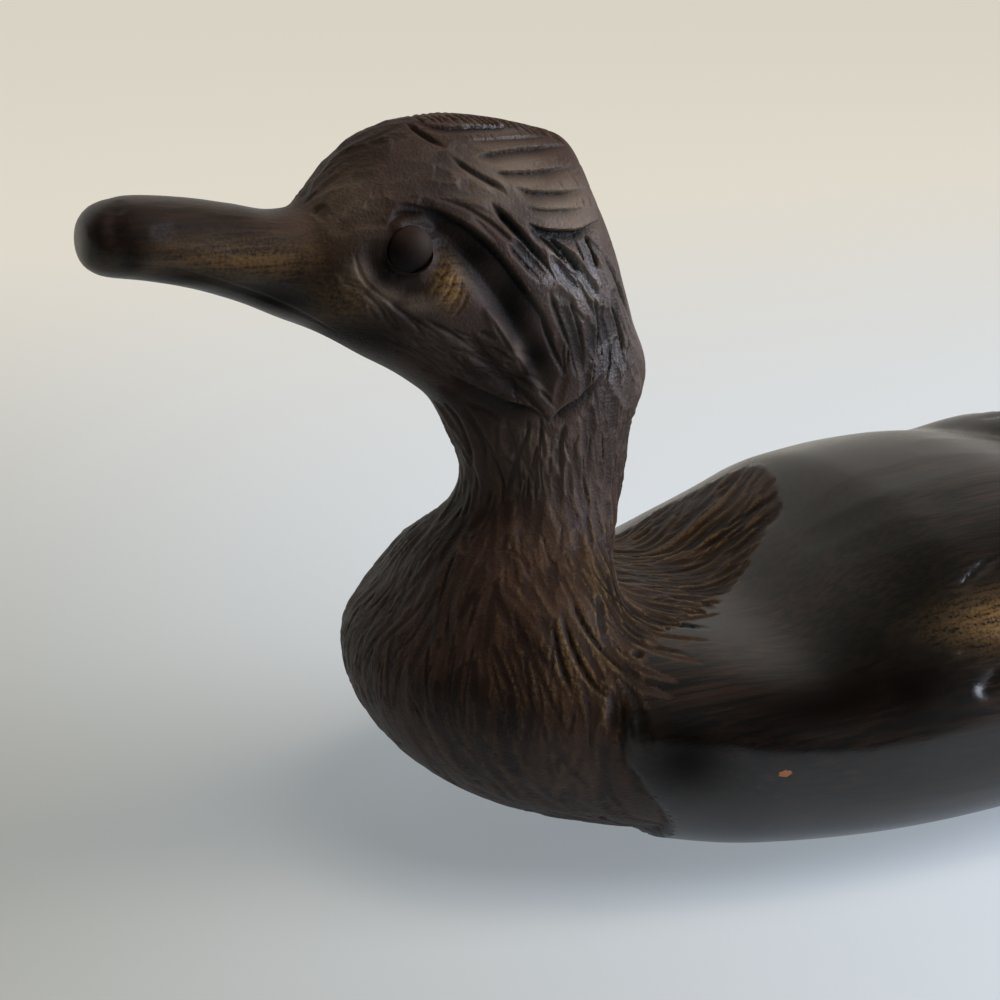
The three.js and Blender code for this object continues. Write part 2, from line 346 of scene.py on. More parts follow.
def block(name: str, low: Sequence[float], high: Sequence[float]) -> Form:
    """Makes a plain block to cut with, from its lowest and highest corners in millimetres."""
    corners = [[(low, high)[(i >> axis) & 1][axis] for axis in range(3)] for i in range(8)]
    faces = [(0, 2, 3, 1), (4, 5, 7, 6), (0, 1, 5, 4), (2, 6, 7, 3), (0, 4, 6, 2), (1, 3, 7, 5)]
    return new_object(name, np.array(corners, float), faces)


@dataclass(frozen=True)
class PhotoCamera:
    """The camera at the photograph's viewing angle. Angles are in degrees and lengths in millimetres."""

    azimuth: float = -25
    elevation: float = 18
    distance: float = 476.2
    target: Triple = (-93, 0, 83)
    lens: float = 72
    sensor: float = 36
    picture: float = 1000  # pixels on each side of the photograph

    @property
    def back(self) -> Vector:
        """Direction from the bird to the camera."""
        turn, rise = math.radians(self.azimuth), math.radians(self.elevation)
        return Vector((math.sin(turn) * math.cos(rise), -math.cos(turn) * math.cos(rise), math.sin(rise)))

    @property
    def place(self) -> Vector:
        """Place of the camera."""
        return Vector(self.target) + self.back * self.distance

    def ray(self, pixel: Sequence[float]) -> Vector:
        """Gives the direction from the camera through a pixel of the photograph.

        Args:
            pixel: Its place from the photograph's left and top.

        Returns:
            The direction.
        """
        right = Vector((0, 0, 1)).cross(self.back).normalized()
        up = self.back.cross(right)
        share = self.sensor / self.lens / self.picture
        half = self.picture / 2
        return (right * (pixel[0] - half) * share + up * (half - pixel[1]) * share - self.back).normalized()

    def build(self) -> None:
        """Places the camera."""
        data = bpy.data.cameras.new("camera")
        data.lens, data.sensor_width = self.lens, self.sensor
        data.clip_start, data.clip_end = 0.01, 50
        camera = bpy.data.objects.new("camera", data)
        camera.location = self.place * MM
        camera.rotation_euler = self.back.to_track_quat("Z", "Y").to_euler()
        bpy.context.scene.collection.objects.link(camera)
        bpy.context.scene.camera = camera


@dataclass(frozen=True)
class Pattern:
    """The decoy's driving sizes, as in the part's source, in millimetres."""

    body_length: float = 321
    body_width: float = 148
    body_height: float = 80
    neck_rise: float = 72
    bill_reach: float = 59
    seat_drop: float = 3
    fit: float = 0.3

    @property
    def bill_tip(self) -> float:
        """Place of the bill's tip along the bird."""
        return -(self.body_length + self.bill_reach) / 2

    @property
    def breast(self) -> float:
        """Place of the breast's front along the bird."""
        return self.bill_tip + self.bill_reach

    @property
    def seat(self) -> float:
        """Height of the flat that the head block is glued to."""
        return self.body_height - self.seat_drop

    @property
    def eye_height(self) -> float:
        """Height of the eyes."""
        return self.seat + self.neck_rise


@dataclass(frozen=True)
class BodyOutline:
    """The body's outline: distance behind the breast, and a share of the body's height or half width."""

    back: Outline = (
        (0, 0.89), (69, 0.75), (93, 0.69), (115, 0.82), (139, 0.97), (167, 1), (197, 0.95), (229, 0.85),
        (261, 0.76), (291, 0.76), (321, 0.85),
    )
    keel: Outline = (
        (0, -0.04), (71, -0.04), (186, -0.04), (216, 0.04), (241, 0.18), (269, 0.41), (296, 0.63), (321, 0.75),
    )
    waist: Outline = (
        (0, 0.59), (31, 0.55), (81, 0.46), (131, 0.42), (171, 0.45), (216, 0.55), (261, 0.65), (296, 0.72),
        (321, 0.8),
    )
    plan: Outline = (
        (0, 0.81), (31, 0.81), (56, 0.84), (81, 0.93), (116, 0.99), (151, 1), (186, 0.96), (226, 0.81),
        (261, 0.6), (291, 0.46), (321, 0.38),
    )
    lower_power: Outline = ((0, 2), (41, 2), (81, 2.4), (131, 2.7), (191, 2.5), (251, 2.1), (321, 2))
    upper_power: float = 2.1
    breast_plan_rounding: float = 62
    breast_top_rounding: float = 40
    breast_under_rounding: float = 98
    tail_rounding: float = 22
    tail_end_share: float = 0.35
    rings: int = 150
    ring_points: int = 160

    def form(self, pattern: Pattern) -> Form:
        """Lofts the body with no tool mark on it.

        Args:
            pattern: The driving sizes.

        Returns:
            The closed form.
        """
        height = pattern.body_height
        along = cosine_steps(self.rings, pattern.body_length)[1:]
        tail = rounded(pattern.body_length - along, self.tail_rounding)
        tail = self.tail_end_share + (1 - self.tail_end_share) * tail
        wide = rounded(along, self.breast_plan_rounding)
        half_width = pattern.body_width / 2 * through(self.plan)(along) * wide * tail
        waist = height * through(self.waist)(along)
        top = waist + (height * through(self.back)(along) - waist) * rounded(along, self.breast_top_rounding)
        fall = waist - height * through(self.keel)(along)
        bottom = waist - fall * rounded(along, self.breast_under_rounding)
        lower = through(self.lower_power)(along)
        rings = np.empty((len(along), self.ring_points, 3))
        for i, x in enumerate(along):
            rings[i, :, 0] = pattern.breast + x
            rings[i, :, 1:] = ring(
                self.ring_points, half_width[i], top[i], waist[i], bottom[i], self.upper_power, lower[i])
        return loft("body_form", rings)


@dataclass(frozen=True)
class HeadOutline:
    """The head's outline: distance behind the bill's tip, top, waist and bottom over the eyes, half width."""

    stations: Sequence[tuple[float, float, float, float, float]] = (
        (0, 6, 3, 0, 4), (1.5, 9, 3, -2.2, 7.5), (5, 11.5, 3, -4, 10), (11, 12.5, 2.5, -5, 11.2),
        (22, 11.5, 0.5, -7.6, 11.6), (34, 9.2, -2.5, -12, 12), (43, 7.3, -5, -16.4, 12.8),
        (48, 7.5, -6, -18.6, 14.5), (52, 12.5, -6, -20.6, 16.5), (57, 18.5, -6, -23.6, 18.5),
        (63, 22.8, -6, -27.5, 20), (71, 25.5, -7, -32.5, 21.5), (80, 26.3, -8, -39, 22.5),
        (92, 25, -10, -43, 23), (104, 22.3, -12, -45, 22), (112, 19.5, -14, -44, 20),
        (117, 10, -16, -40, 17.5), (121, 1, -17, -35, 14.5), (125, -11, -22, -32, 11),
        (129, -21, -26, -30, 7),
    )
    upper_power: Outline = ((0, 2.3), (36, 2.3), (60, 1.85), (80, 1.75), (129, 1.75))
    lower_power: float = 2
    rings: int = 130
    ring_points: int = 120

    def form(self, pattern: Pattern) -> Form:
        """Lofts the head and bill with no tool mark on it.

        Args:
            pattern: The driving sizes.

        Returns:
            The closed form.
        """
        columns = list(zip(*self.stations))
        along = cosine_steps(self.rings, columns[0][-1])
        top, waist, bottom, half_width = (through(list(zip(columns[0], c)))(along) for c in columns[1:])
        upper = through(self.upper_power)(along)
        rings = np.empty((len(along), self.ring_points, 3))
        for i, x in enumerate(along):
            rings[i, :, 0] = pattern.bill_tip + x
            rings[i, :, 1:] = ring(
                self.ring_points, half_width[i], top[i], waist[i], bottom[i], upper[i], self.lower_power)
            rings[i, :, 2] += pattern.eye_height
        return loft("head_form", rings)


@dataclass(frozen=True)
class NeckOutline:
    """The neck's outline: height over its seat, its middle behind the breast, half length, half width."""

    stations: Sequence[tuple[float, float, float, float]] = (
        (-30, 36, 33, 48.5), (-24, 36, 31, 46.5), (-18, 36.5, 28.5, 43.5), (-12.5, 37.5, 25.5, 40),
        (-8, 38.8, 24.6, 35.5), (-4, 41, 24.2, 29.5), (0, 43.5, 23.2, 24),
        (7, 48.5, 20.6, 18.8), (14, 49.4, 20.8, 17.5), (23, 48.4, 23.4, 18), (36, 48, 28, 18.5),
        (51, 44.5, 25, 17), (65, 41, 22, 15),
    )
    rings: int = 90
    ring_points: int = 120

    def form(self, pattern: Pattern) -> Form:
        """Lofts the neck with no tool mark on it.

        Args:
            pattern: The driving sizes.

        Returns:
            The closed form.
        """
        columns = list(zip(*self.stations))
        rise = np.linspace(columns[0][0], columns[0][-1], self.rings)
        middle, half_length, half_width = (through(list(zip(columns[0], c)))(rise) for c in columns[1:])
        rings = np.empty((len(rise), self.ring_points, 3))
        for i, up in enumerate(rise):
            section = ring(self.ring_points, half_length[i], half_width[i], 0, -half_width[i])
            rings[i, :, 0] = pattern.breast + middle[i] + section[:, 0]
            rings[i, :, 1] = section[:, 1]
            rings[i, :, 2] = pattern.seat + up
        return loft("neck_form", rings)


@dataclass(frozen=True)
class WingOutline:
    """A folded wing: distance behind the breast, from the middle, drop below the back, half width, depth."""

    stations: Sequence[tuple[float, float, float, float, float]] = (
        (161, 31, 15.5, 12, 8), (183, 28, 6, 18, 9), (207, 23.5, 1.7, 19, 9), (233, 18.5, 1.7, 16.5, 7.5),
        (257, 13, 3.2, 12, 6), (275, 8.8, 4.5, 7.5, 4), (285, 6, 5.2, 3, 2),
    )
    rings: int = 90
    ring_points: int = 60

    def form(self, pattern: Pattern, side: int) -> Form:
        """Lofts the wing with no tool mark on it.

        Args:
            pattern: The driving sizes.
            side: -1 for the bird's left and 1 for its right.

        Returns:
            The closed form.
        """
        columns = list(zip(*self.stations))
        along = np.linspace(columns[0][0], columns[0][-1], self.rings)
        distance, drop, half_width, depth = (through(list(zip(columns[0], c)))(along) for c in columns[1:])
        rings = np.empty((len(along), self.ring_points, 3))
        for i, x in enumerate(along):
            top = pattern.body_height - drop[i]
            section = ring(self.ring_points, half_width[i], top, top - depth[i], top - 2 * depth[i])
            rings[i, :, 0] = pattern.breast + x
            rings[i, :, 1] = side * distance[i] + section[:, 0]
            rings[i, :, 2] = section[:, 1]
        return loft("wing_form", rings)


def smoothed(obj: Form, weight: Array | None, rounds: int) -> None:
    """Relaxes a mesh, where a weight is given by point only as far as that says.

    Args:
        obj: The mesh's object.
        weight: From 0, held, to 1, free, or None for the whole mesh.
        rounds: How often the points are drawn towards their neighbours.
    """
    modifier = obj.modifiers.new("smooth", "SMOOTH")
    modifier.factor = 0.5
    modifier.iterations = rounds
    if weight is not None:
        group = obj.vertex_groups.new(name="free")
        for index in np.flatnonzero(weight > 0.01):
            group.add([int(index)], float(weight[index]), "REPLACE")
        modifier.vertex_group = group.name
    applied(obj)
    obj.vertex_groups.clear()


def refined(obj: Form, chosen: Callable[[Array], Array]) -> None:
    """Splits each face of a zone into four.

    Args:
        obj: The mesh's object.
        chosen: Tells which places, in millimetres, lie in the zone.
    """
    mesh = bmesh.new()
    mesh.from_mesh(obj.data)
    mesh.faces.ensure_lookup_table()
    centres = np.array([face.calc_center_median() for face in mesh.faces]) / MM
    edges = {edge for index in np.flatnonzero(chosen(centres)) for edge in mesh.faces[int(index)].edges}
    bmesh.ops.subdivide_edges(mesh, edges=list(edges), cuts=1, use_grid_fill=True)
    mesh.to_mesh(obj.data)
    mesh.free()


@dataclass(frozen=True)
class WholeForm:
    """The bird roughed out as one piece of wood, with a finer skin where it is carved."""

    pattern: Pattern
    body: BodyOutline = BodyOutline()
    head: HeadOutline = HeadOutline()
    neck: NeckOutline = NeckOutline()
    wing: WingOutline = WingOutline()
    grid: float = 1.35  # side of the mesh's squares, halved in the carved zone and again in the crisp one
    settling: int = 4  # rounds of smoothing for the whole skin
    easing: int = 90  # rounds of smoothing where the forms meet

    def make(self) -> Form:
        """Joins the lofts into one skin and eases the places where they meet.

        Returns:
            The rough form.
        """
        pattern = self.pattern
        parts = [self.body.form(pattern), self.head.form(pattern), self.neck.form(pattern)]
        parts += [self.wing.form(pattern, side) for side in (-1, 1)]
        whole = joined("bird", parts)
        remesh = whole.modifiers.new("skin", "REMESH")
        remesh.mode = "VOXEL"
        remesh.voxel_size = self.grid * MM
        remesh.use_smooth_shade = True
        applied(whole)
        smoothed(whole, None, self.settling)
        smoothed(whole, self._joints(points_of(whole)), self.easing)
        for zone in (self.carved_zone, self.crisp_zone):
            refined(whole, zone)
            smoothed(whole, zone(points_of(whole)).astype(float), self.settling)
        whole.data.shade_smooth()
        return whole

    def carved_zone(self, points: Array) -> Array:
        """Tells which places are carved finely: the head and neck, the breast's upper half and the cape."""
        x, _, z = points.T
        return ((x < self.pattern.breast + 109) & (z > 42)) | (z > self.pattern.body_height + 4)

    def crisp_zone(self, points: Array) -> Array:
        """Tells which places hold the finest cuts: the face behind the bill, the crest and the nape."""
        x, _, z = points.T
        return ((x > -142) & (z > 118)) | ((x > -98) & (z > 88))

    def _joints(self, points: Array) -> Array:
        """Finds how near each point is to where the forms meet.

        Args:
            points: Places on the skin, in millimetres.

        Returns:
            From 0, away from it, to 1.
        """
        x, y, z = points.T
        seat, breast = self.pattern.seat, self.pattern.breast
        foot = eased(z, seat - 34, seat - 22) * (1 - eased(z, seat + 5, seat + 17))
        foot *= 1 - eased(np.hypot(x - breast - 42, y), 50, 66)
        crease = eased(x, breast + 62, breast + 68) * (1 - eased(np.abs(y), 3, 12))
        throat = eased(z, seat + 16, seat + 26) * (1 - eased(z, seat + 44, seat + 56))
        throat *= eased(x, breast, breast + 12)
        wings = eased(x, breast + 150, breast + 165)
        return np.maximum.reduce([foot * (1 - 0.7 * crease), 0.8 * throat, 0.35 * wings])


@dataclass(frozen=True)
class Trace:
    """One cut as it lies on the skin, in millimetres."""

    tool: Tool
    path: Array
    width: float
    depth: float
    hand: int = 1  # -1 for a mirrored cut, whose wall changes sides with it
    tone: float = 0  # from -1, where the stain took darker, to 1


@dataclass(frozen=True)
class Mark:
    """One cut by chosen points on the bird's left, in millimetres or, from the photograph, in pixels.

    The right side gets its mirror image, unless the sides say otherwise. A depth below 0 leaves wood proud.
    """

    points: Outline
    width: float
    depth: float
    tool: Tool = VEINER
    view: View = View.PHOTO
    sides: Sequence[int] = (-1, 1)


CAMERA = PhotoCamera()


class Skin:
    """The surface of the rough form, on which cuts are laid."""

    SPACING = 1.6
    PIXELS = 7  # spacing in the photograph
    ABOVE = 300  # height that points are laid down from

    def __init__(self, form: Form) -> None:
        """Keeps the form's points and a tree for finding the nearest."""
        self.points = points_of(form)
        self.tree = BVHTree.FromPolygons(self.points.tolist(), [tuple(f.vertices) for f in form.data.polygons])

    def nearest(self, point: Array) -> tuple[Array, Array]:
        """Finds the place on the skin nearest to a point, and the direction out of the skin there."""
        place, normal, _, _ = self.tree.find_nearest(Vector(point.tolist()))
        return np.array(place), np.array(normal)

    def lay(self, points: Outline, view: View, side: int) -> Array:
        """Lays flat points onto the skin.

        Args:
            points: Pairs of numbers, in the view's units.
            view: What they are laid on from.
            side: -1 for the bird's left and 1 for its right.

        Returns:
            Points along the path, evenly spaced.
        """
        pairs = np.array(points, float)
        steps = np.hypot(*np.diff(pairs, axis=0).T)
        along = np.concatenate([[0], np.cumsum(steps)])
        spacing = self.PIXELS if view is View.PHOTO else self.SPACING
        even = np.linspace(0, along[-1], max(3, int(along[-1] / spacing) + 1))
        flat = np.stack([through(list(zip(along, pairs[:, k])))(even) for k in (0, 1)], axis=1)
        path = []
        for pair in flat:
            if view is View.PHOTO:
                start, inward = CAMERA.place, CAMERA.ray(pair)
            else:
                start, inward = Vector((*pair, self.ABOVE)), Vector((0, 0, -1))
            place, _, _, _ = self.tree.ray_cast(start, inward)
            if place is not None and (view is not View.PHOTO or place.y < 0):
                path.append(np.array(place) * (1, -side, 1))
        return np.array(path)

    def follow(self, start: Array, length: float, flow: FeatherFlow, stray: float) -> Array:
        """Walks over the skin along the feathers.

        Args:
            start: The first place.
            length: How far to go, in millimetres.
            flow: The way that the feathers lie.
            stray: How far to turn off that way, in radians.

        Returns:
            The places on the way.
        """
        path = [start]
        here, normal = self.nearest(start)
        for _ in range(max(2, int(length / self.SPACING))):
            way = flow.direction(here)
            way = way - normal * (way @ normal)
            way = way * math.cos(stray) + np.cross(normal, way) * math.sin(stray)
            here, normal = self.nearest(here + way / max(np.linalg.norm(way), 1e-6) * self.SPACING)
            path.append(here)
        return np.array(path)


@dataclass(frozen=True)
class FeatherFlow:
    """The way that the carved feathers lie, from guide lines on the bird's left, in millimetres."""

    guides: Sequence[Sequence[Triple]] = (
        ((-140, -15, 143), (-134, -18, 141), (-126, -18, 133), (-115, -20, 124), (-106, -20, 117),
         (-92, -18, 108)),
        ((-126, -19, 136), (-112, -20, 127), (-100, -20, 118), (-91, -18, 110)),
        ((-140, -10, 134), (-125, -12, 124), (-112, -10, 116), (-104, -12, 112)),
        ((-129, -15, 159), (-112, -19, 155), (-101, -22, 148), (-90, -22, 136), (-84, -21, 122),
         (-82, -19, 110)),
        ((-137, -5, 165), (-125, -10, 168), (-115, -10, 170), (-104, -15, 165), (-92, -20, 152),
         (-83, -20, 147)),
        ((-83, -20, 147), (-77, -19, 139), (-72, -17, 125), (-70, -17, 112)),
        ((-140, -12, 155), (-132, -14, 160), (-118, -14, 163), (-104, -18, 158), (-89, -22, 143),
         (-80, -20, 130)),
        ((-105, -10, 170), (-90, -12, 167), (-77, -12, 165)),
        ((-100, -16, 161), (-86, -16, 159), (-76, -16, 157)),
        ((-70, 0, 160), (-66, 0, 145), (-60, 0, 128), (-55, 0, 113), (-57, 0, 98), (-60, 0, 85)),
        ((-75, -17, 150), (-72, -18, 138), (-68, -15, 125), (-64, -12, 112), (-64, -12, 98), (-66, -12, 85)),
        ((-100, -17, 108), (-98, -17, 95), (-98, -19, 83), (-99, -25, 72), (-100, -40, 60), (-100, -48, 25)),
        ((-88, -18, 106), (-87, -18, 95), (-86, -20, 83), (-86, -28, 74), (-86, -46, 58), (-90, -55, 30)),
        ((-76, -17, 104), (-74, -17, 92), (-73, -18, 82), (-70, -24, 73), (-62, -34, 62), (-50, -42, 58)),
        ((-110, 0, 108), (-104, 0, 95), (-106, 0, 85), (-112, 0, 78), (-122, 0, 70), (-129, 0, 58),
         (-130, 0, 30)),
        ((-107, -8, 105), (-104, -12, 92), (-107, -15, 80), (-115, -22, 70), (-121, -30, 55), (-118, -33, 22)),
        ((-66, -10, 76), (-58, -10, 64), (-45, -8, 58), (-30, -6, 57), (-15, -5, 64)),
        ((-68, -14, 76), (-60, -20, 64), (-48, -24, 58), (-34, -24, 57)),
        ((-74, -18, 77), (-66, -28, 64), (-56, -34, 58), (-42, -38, 57)),
        ((-80, -22, 74), (-74, -36, 62), (-68, -46, 56), (-56, -54, 52)),
        ((-20, -20, 62), (10, -30, 74), (50, -28, 76), (90, -18, 74), (130, -8, 68), (185, -8, 66)),
        ((-60, -66, 40), (-10, -73, 38), (50, -70, 40), (100, -45, 48), (150, -25, 58), (185, -12, 62)),
    )
    blend: float = 6  # added to each squared distance, so that the nearest guides blend evenly
    _places: list[Array] = field(default_factory=list, init=False, repr=False)
    _ways: list[Array] = field(default_factory=list, init=False, repr=False)

    def __post_init__(self) -> None:
        """Works out the middle and direction of each stretch of the guides, on both sides."""
        for guide in self.guides:
            line = np.array(guide, float)
            for mirror in (np.array([1, 1, 1]), np.array([1, -1, 1])):
                steps = np.diff(line * mirror, axis=0)
                self._places.append((line[:-1] * mirror) + steps / 2)
                self._ways.append(steps / np.linalg.norm(steps, axis=1, keepdims=True))

    def direction(self, place: Array) -> Array:
        """Blends the guides' directions at a place, the nearer the stronger."""
        near = 1 / (np.sum((np.concatenate(self._places) - place) ** 2, axis=1) + self.blend) ** 2
        return near @ np.concatenate(self._ways) / near.sum()


@dataclass(frozen=True)
class Patch:
    """A stretch of the skin that many like cuts cover."""

    name: str
    outline: Outline  # seen from the side, in millimetres
    tool: Tool
    cuts: int
    length: Pair
    width: Pair
    depth: Pair
    stray: float = 12  # how far a cut may turn off the feathers' way, in degrees

    def traces(self, skin: Skin, flow: FeatherFlow, chance: np.random.Generator, allowed: Array,
               ends: Callable[[Array], Array] | None = None) -> Iterable[Trace]:
        """Scatters the cuts over the patch, on both sides, along the feathers.

        Args:
            skin: The rough form's surface.
            flow: The way that the feathers lie.
            chance: What the scatter is drawn from.
            allowed: Tells by point of the skin whether a cut may start there.
            ends: Tells which places end a cut that runs into them.

        Yields:
            The cuts.
        """
        places = skin.points[inside(self.outline, skin.points[:, [0, 2]]) & allowed]
        for start in places[chance.integers(0, len(places), self.cuts)]:
            stray = math.radians(chance.normal(0, self.stray))
            path = skin.follow(start, chance.uniform(*self.length), flow, stray)
            stopped = ends(path) if ends else np.zeros(len(path), bool)
            if stopped.any():
                path = path[:int(stopped.argmax())]
            hand = 1 if start[1] < 0 else -1
            width, depth = chance.uniform(*self.width), chance.uniform(*self.depth)
            yield Trace(self.tool, path, width, depth, hand, tone=chance.uniform(-1, 1))


def inside(outline: Outline, places: Array) -> Array:
    """Tells which flat places lie inside a closed outline.

    Args:
        outline: Its corners.
        places: The places, a row each.

    Returns:
        Whether each place lies inside.
    """
    corners = np.array(outline, float)
    found = np.zeros(len(places), bool)
    for (x0, y0), (x1, y1) in zip(corners, np.roll(corners, -1, axis=0)):
        crosses = (places[:, 1] < y0) != (places[:, 1] < y1)
        if y0 != y1:
            found ^= crosses & (places[:, 0] < x0 + (places[:, 1] - y0) * (x1 - x0) / (y1 - y0))
    return found


def section(tool: Tool, offset: Array, width: Array) -> Array:
    """Gives the share of a cut's depth at a distance from its path.

    Args:
        tool: What made the cut.
        offset: Distance from the path, above 0 on its right.
        width: Half width of the cut there.

    Returns:
        Shares from 0 to 1.
    """
    reach = np.abs(offset) / width
    if tool is VEINER:
        return np.clip(1 - reach, 0, 1)
    if tool is GOUGE:
        return np.clip(1 - reach ** 2, 0, 1)
    if tool is RASP:
        return np.exp(-2.2 * reach ** 2)
    wall = 0.45
    return np.where(offset > 0, np.clip(1 - reach, 0, 1), np.clip(1 + offset / wall, 0, 1))


def cut_depths(points: Array, normals: Array,
               traces: Iterable[Trace]) -> tuple[Array, Array, Array]:
    """Works out how deep the tools go at each point.

    Args:
        points: The skin's points, in millimetres.
        normals: Directions out of the skin.
        traces: The cuts.

    Returns:
        The depth of the soft hollows, which add up, the depth of the crisp cuts, of which the deepest counts,
        and that one's tone.
    """
    soft, crisp, tone = np.zeros((3, len(points)))
    order = np.argsort(points[:, 0])
    along = points[order, 0]
    for trace in traces:
        if len(trace.path) < 2:
            continue
        margin = trace.width * (2 if trace.tool is RASP else 1)
        low, high = trace.path.min(0) - margin, trace.path.max(0) + margin
        slab = order[slice(*np.searchsorted(along, (low[0], high[0])))]
        near = slab[np.all((points[slab, 1:] > low[1:]) & (points[slab, 1:] < high[1:]), axis=1)]
        if not len(near):
            continue
        depth = _depth_along(points[near], normals[near], trace)
        if trace.tool is RASP or trace.depth < 0:
            soft[near] += depth
        else:
            deeper = near[depth > crisp[near]]
            crisp[deeper] = depth[depth > crisp[near]]
            tone[deeper] = trace.tone
    return soft, crisp, tone


def _depth_along(points: Array, normals: Array, trace: Trace) -> Array:
    """Gives one cut's depth at points near it.

    Args:
        points: The points, in millimetres.
        normals: Directions out of the skin.
        trace: The cut.

    Returns:
        The depths.
    """
    starts, steps = trace.path[:-1], np.diff(trace.path, axis=0)
    lengths = np.maximum(np.linalg.norm(steps, axis=1), 1e-6)
    away = points[:, None, :] - starts[None]
    share = np.clip(np.einsum("pkc,kc->pk", away, steps) / lengths ** 2, 0, 1)
    gap = away - share[..., None] * steps[None]
    distance = np.linalg.norm(gap, axis=2)
    best = distance.argmin(axis=1)
    rows = np.arange(len(points))
    along = (best + share[rows, best]) / len(steps)
    right = np.cross(steps[best], normals)
    turn = np.sign(np.einsum("pc,pc->p", gap[rows, best], right)) * trace.hand
    taper = np.clip(along / 0.2, 0, 1) ** 0.7 * np.clip((1 - along) / 0.35, 0, 1) ** 0.7
    width = trace.width * (0.45 + 0.55 * taper)
    return trace.depth * taper * section(trace.tool, distance[rows, best] * turn, width)


@dataclass(frozen=True)
class Polish:
    """Where the wood is left smooth and glossy: the bill, and all of the body behind the cape of feathers."""

    cape_edge: Outline = (  # across, along, on the bird's left
        (0, -22), (11, -37), (20, -48), (27, -57), (33, -66), (43, -79), (48, -84), (55, -87), (58, -89),
    )
    right_edge: Outline = (  # as the cape's edge, on the bird's right
        (0, -20), (8, -10), (20, -4), (32, -1), (40, -4), (47, -14), (54, -45), (58, -89),
    )
    pocket_edge: Outline = ((0, -68), (8, -70), (17, -74), (31, -84), (40, -89), (52, -88))  # height, along
    bill_edge: Outline = ((132, -140), (145, -142), (156, -144), (170, -142))  # height, along
    bill_share: float = 0.6
    slant: float = 0.75  # distance across the cape's slanting edge for each millimetre along the bird
    neck: float = 92  # height above which only the bill is polished
    cape_step: float = 0.3  # how deep the smooth wood lies behind the cape
    cape_fade: float = 20
    lip_step: float = 2.2  # how deep the breast lies before the flank's lip
    lip_fade: float = 14
    strands: Sequence[Outline] = (  # feathers' tips that reach over the gloss, in the photograph's pixels
        ((690, 505), (725, 498), (765, 478)),
        ((695, 520), (735, 512), (770, 500)),
        ((690, 536), (725, 532), (760, 514)),
        ((680, 552), (720, 552), (757, 540)),
        ((670, 572), (705, 580), (742, 570)),
        ((650, 585), (690, 598), (732, 590)),
        ((640, 600), (680, 618), (722, 612)),
        ((625, 612), (660, 634), (712, 640)),
        ((612, 625), (650, 648), (704, 663)),
        ((605, 645), (640, 668), (680, 682)),
        ((600, 665), (635, 684), (674, 698)),
        ((592, 680), (622, 696), (652, 708)),
    )
    strand_width: float = 1.3
    strand_depth: float = 0.5
    fine: float = 3  # half width up to which a gouge's cut counts as a strand
    strand_heights: Pair = (48, 84)
    dull_share: float = 1.15  # width that a strand leaves dull, for each of its own

    def behind_cape(self, points: Array) -> Array:
        """Gives how far each point lies behind the edge of the feathers, in millimetres.

        Args:
            points: Places on the skin, in millimetres.

        Returns:
            The distances, which are below 0 under the feathers.
        """
        x, across, z = points[:, 0], np.abs(points[:, 1]), points[:, 2]
        top = eased(z, 44, 54)
        cape = np.where(points[:, 1] < 0, through(self.cape_edge)(across), through(self.right_edge)(across))
        edge = cape * top + through(self.pocket_edge)(z) * (1 - top)
        return self.slant * (x - edge)

    def runs_out(self, path: Array, reach: float) -> Array:
        """Tells which places on a cut's path end it: those on the gloss, for the cape's past a reach."""
        beyond = (self.behind_cape(path) > reach) | (path[:, 2] > self.neck)
        return (self.amount(path) > 0.6) & beyond

    def chosen_strands(self, skin: Skin) -> list[Trace]:
        """Lays the chosen strands of the cape."""
        return [
            Trace(GOUGE, skin.lay(strand, View.PHOTO, side), self.strand_width, self.strand_depth, -side)
            for strand in self.strands for side in (-1, 1)
        ]

    def feather_tips(self, traces: Iterable[Trace]) -> list[Trace]:
        """Picks the cape's strands that reach over the gloss.

        Args:
            traces: The cuts.

        Returns:
            The strands, as wide as they leave the wood dull.
        """
        lowest, highest = self.strand_heights
        tips = []
        for trace in traces:
            if trace.tool is not GOUGE or trace.width > self.fine or len(trace.path) < 2:
                continue
            heights = trace.path[:, 2]
            if self.behind_cape(trace.path).max() > 0 and heights.min() > lowest and heights.max() < highest:
                tips.append(Trace(GOUGE, trace.path, self.dull_share * trace.width, 1.0))
        return tips

    def amount(self, points: Array, covered: Array | float = 0.0) -> Array:
        """Gives 1 where the wood is polished and 0 where the tool marks are left.

        Args:
            points: Places on the skin, in millimetres.
            covered: How far the cape's strands cover each place.

        Returns:
            The share of polish at each place.
        """
        body = eased(self.behind_cape(points), -0.4, 0.9) * (1 - eased(covered, 0.05, 0.3))
        ahead = through(self.bill_edge)(points[:, 2]) - points[:, 0]
        bill = eased(ahead, -3, 6) * eased(points[:, 2], 110, 120)
        return np.maximum(body * (1 - eased(points[:, 2], self.neck, self.neck + 6)), self.bill_share * bill)

    def step(self, points: Array, covered: Array) -> Array:
        """Gives how deep the smooth wood lies behind the cape, and the breast before the flank's lip.

        Args:
            points: Places on the skin, in millimetres.
            covered: How far the cape's strands cover each place.

        Returns:
            The depths, in millimetres.
        """
        behind = self.behind_cape(points)
        top = eased(points[:, 2], 46, 54)
        cape = self.cape_step * eased(behind, -0.5, 1.2) * np.exp(-np.maximum(behind, 0) / self.cape_fade)
        cape *= 1 - eased(covered, 0, 0.6)
        lip = self.lip_step * (1 - eased(behind, -1.2, 0.8)) * np.exp(np.minimum(behind, 0) / self.lip_fade)
        return np.where(points[:, 2] < self.neck, cape * top + lip * (1 - top), 0)


